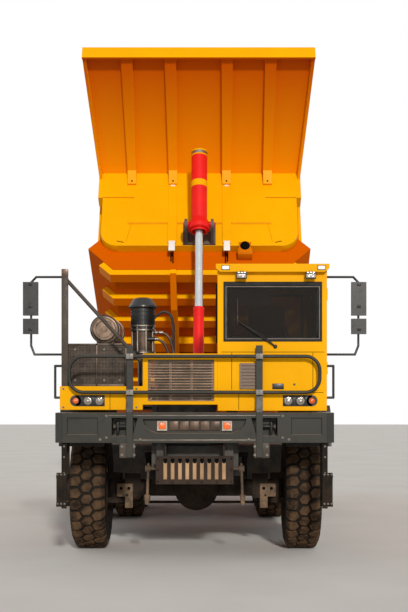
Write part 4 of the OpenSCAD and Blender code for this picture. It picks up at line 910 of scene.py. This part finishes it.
def fit_hoses():
    """The air hose in its arc, and two metal pipes in sleeves, in place of the bent solids."""
    hose, pipes, sleeves = forms(3)
    tube(hose, [(-0.51, -0.5, 2.82), (-0.455, -0.5, 2.868), (-0.385, -0.5, 2.902),
                (-0.315, -0.5, 2.872), (-0.278, -0.5, 2.78), (-0.27, -0.5, 2.6),
                (-0.27, -0.5, 2.33)], 0.016, sides=4)
    for y, z, bend, foot in ((-0.54, 2.65, -0.385, -0.245), (-0.6, 2.57, -0.44, -0.31)):
        tube(pipes, [(-0.49, y, z), (bend - 0.02, y, z - 0.002), (bend + 0.06, y, z - 0.055),
                     (foot - 0.03, y, 2.44), (foot, y, 2.33)], 0.0165, sides=4)
        for x in (-0.49, bend - 0.04):
            rod(sleeves, (x - 0.02, y, z), (x + 0.03, y, z), 0.022)
    piece = whole(hose, "air_hose", "hose_rubber")
    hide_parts("engine_hoses")
    whole(pipes, "coolant_pipes", "hose_rubber", BROWN_METAL)
    whole(sleeves, "pipe_sleeves", "chrome", BRIGHT)


def fit_muffler():
    at = FRONT @ moved(-1.082, -0.76, 2.68) @ TO_FRONT
    face, straps, dark = forms(3)
    turned(face, [(0.0, 0.012), (0.03, 0.012), (0.034, 0.004), (0.096, 0.004), (0.104, 0.01),
                  (0.128, 0.01), (0.136, 0.003), (0.149, 0.0), (0.0, 0.0)], at, 56)
    whole(face, "muffler_end", "exhaust_steel")
    turned(dark, [(0.16, -0.034), (0.1705, -0.034), (0.1725, -0.028), (0.1705, -0.018),
                  (0.16, -0.018)], at, 56, closed=True)
    for along in (-0.2, -0.8):
        hoop(straps, 0.166, 0.1715, along, along + 0.04, 0.0, at, 56)
    for along in (-0.09, -0.95):
        hoop(straps, 0.167, 0.1735, along, along + 0.016, 0.005, at, 56)
    whole(dark, "muffler_lip", "black_metal")
    whole(straps, "muffler_straps", "chrome", BRIGHT)


def fit_hoist():
    """Bright cap, yellow rings and band on the tipping cylinder's cover."""
    cap, rings, studs = forms(3)
    hoop(cap, 0.1165, 0.121, 1.141, 1.187, 0.002, HOIST)
    for z0, z1 in ((1.118, 1.142), (1.184, 1.21)):
        hoop(rings, 0.117, 0.1235, z0, z1, 0.003, HOIST)
    hoop(rings, 0.1165, 0.12, 0.6, 0.702, 0.002, HOIST)
    bolts(studs, [(a, b, 1.209) for a, b in circle(8, 0.085)], 0.01, (0, 0, 1), HOIST)
    whole(cap, "hoist_cap_band", "chrome", BRIGHT, "hoist_cover")
    whole(rings, "hoist_yellow_rings", "body_yellow", body="hoist_cover")
    whole(studs, "hoist_cap_bolts", "chrome", BOLT, "hoist_cover")


def fit_bed():
    """Weld runs, drain holes, pale patches and stop of the bed's front, laid out in the bed's own
    frame.
    """
    welds, dark, pads, stop = forms(4)
    # Cross weld on the canopy's underside, and runs along the headboard's plates, in the deep
    # orange of painted shade
    for reach, z in ((1.47, 1.447), (1.09, 0.945)):
        rod(welds, (-reach, BED_SKIN, z), (reach, BED_SKIN, z), 0.0045, 8, place=BED)
    for side in (1, -1):
        rod(welds, (side * 0.93, BED_SKIN, 1.43), (side * 1.095, BED_SKIN, 0.61), 0.003, 8,
            place=BED)
        # Slanted drain slots near the lower corners, and holes in the lip
        rod(dark, (side * 1.13, BED_SKIN, 0.598), (side * 1.23, BED_SKIN, 0.622), 0.006, 8,
            place=BED)
        for x in (0.41, 1.04):
            rod(dark, (side * x, -4.491, 1.7175), (side * x, -4.496, 1.715), 0.013, 16, place=BED)
    # Pale patches at the beams' front ends, and small ones under the middle ribs' drain holes
    block_pair(pads, (0.362, 0.458), (-4.46, -4.446), (0.423, 0.602), place=BED)
    block_pair(pads, (0.382, 0.44), (-4.452, -4.4464), (1.65, 1.676), 0.002, BED)
    for x, low in ((0.385, 0.33), (0.415, 0.36)):
        block_pair(dark, (x, x + 0.015), (-4.3, -4.262), (low, 0.52), 0.0, BED)
    # A stop with a rubber buffer, under the headboard on the cab's side, coloured deep orange as
    # painted shade
    block(stop, (0.572, 0.79), (BED_SKIN, -4.262), (0.385, 0.505), 0.006, BED)
    block(stop, (0.59, 0.772), (-4.43, -4.4212), (0.4, 0.6), 0.003, BED)
    turned(dark, [(0.0001, 0.052), (0.036, 0.046), (0.062, 0.028), (0.074, 0.0), (0.0001, 0.0)],
           BED @ moved(0.681, -4.4305, 0.53) @ TO_FRONT, 32)
    whole(stop, "bed_buffer_stop", "body_yellow", ORANGE_PAINTED_SHADE, "bed")
    whole(welds, "bed_weld_runs", "body_yellow", ORANGE_PAINTED_SHADE, "bed")
    whole(dark, "bed_drain_holes", "black_metal", DARK_HOLE, "bed")
    whole(pads, "bed_pale_patches", "bracket_grey", PALE_PATCH, "bed")


# ---- light, floor and camera

def lay_floor():
    form = bmesh.new()
    bmesh.ops.create_grid(form, x_segments=1, y_segments=1, size=60.0)
    floor = placed("floor", mesh_of(form, "floor"))
    floor.data.materials.append(finish("pale_floor", (0.76, 0.75, 0.74), 0.9, 0.03, tint_scale=0.8,
                                       relief=0.01))


def light_studio():
    scene = bpy.context.scene
    world = bpy.data.worlds.new("studio")
    scene.world = world
    world.use_nodes = True
    tree = world.node_tree
    tree.nodes.clear()
    # Eyes, glass and reflections see a white studio; matt surfaces get a weaker, warmer fill
    seen = tree.nodes.new("ShaderNodeLightPath").outputs
    either = combined(tree, "MAXIMUM", seen["Is Camera Ray"], seen["Is Transmission Ray"])
    share = combined(tree, "MAXIMUM", either, seen["Is Glossy Ray"])
    dim = add(tree, "ShaderNodeBackground", Color=(1.0, 0.97, 0.93, 1.0), Strength=0.36)
    white = add(tree, "ShaderNodeBackground", Color=(1.0, 1.0, 1.0, 1.0), Strength=1.0)
    mix = tree.nodes.new("ShaderNodeMixShader")
    for source, socket in zip((share, dim.outputs[0], white.outputs[0]), mix.inputs):
        tree.links.new(source, socket)
    out = tree.nodes.new("ShaderNodeOutputWorld")
    tree.links.new(mix.outputs[0], out.inputs["Surface"])
    # One broad key lamp in front of the truck, and a weak wide one from low down
    for name, energy, angle, colour, travel in (
            ("key", 2.32, 4.0, (1.0, 0.95, 0.87), (-0.12, 0.85, -0.33)),
            ("low_fill", 0.55, 80.0, (1.0, 0.8, 0.58), (0.15, 0.9, 0.35))):
        lamp = bpy.data.lights.new(name, "SUN")
        lamp.energy = energy
        lamp.angle = math.radians(angle)
        lamp.color = colour
        placed(name, lamp).rotation_euler = Vector(travel).to_track_quat("-Z", "Y").to_euler()
    scene.view_settings.view_transform = "Standard"


def place_camera():
    """Stands where the photographer stood: level, 1.9 m up, some 14 m ahead of the bumper."""
    lens = bpy.data.cameras.new("camera")
    lens.lens = 71.6
    lens.sensor_width = 36.0
    lens.shift_x = -0.0162
    lens.shift_y = 0.1454
    lens.clip_end = 200.0
    camera = placed("camera", lens)
    camera.location = (0.218, -18.43, 1.9)
    camera.rotation_euler = (math.radians(90.0), 0.0, 0.0)
    bpy.context.scene.camera = camera


place_camera()
dress_nodes()
fit_tyres()
fit_wheel_nuts()
fit_lamps()
fit_screens()
fit_bumper()
fit_steps()
fit_cab()
fit_cab_inside()
fit_mirrors()
fit_air_cleaner()
fit_hoses()
fit_muffler()
fit_hoist()
fit_bed()
lay_floor()
light_studio()
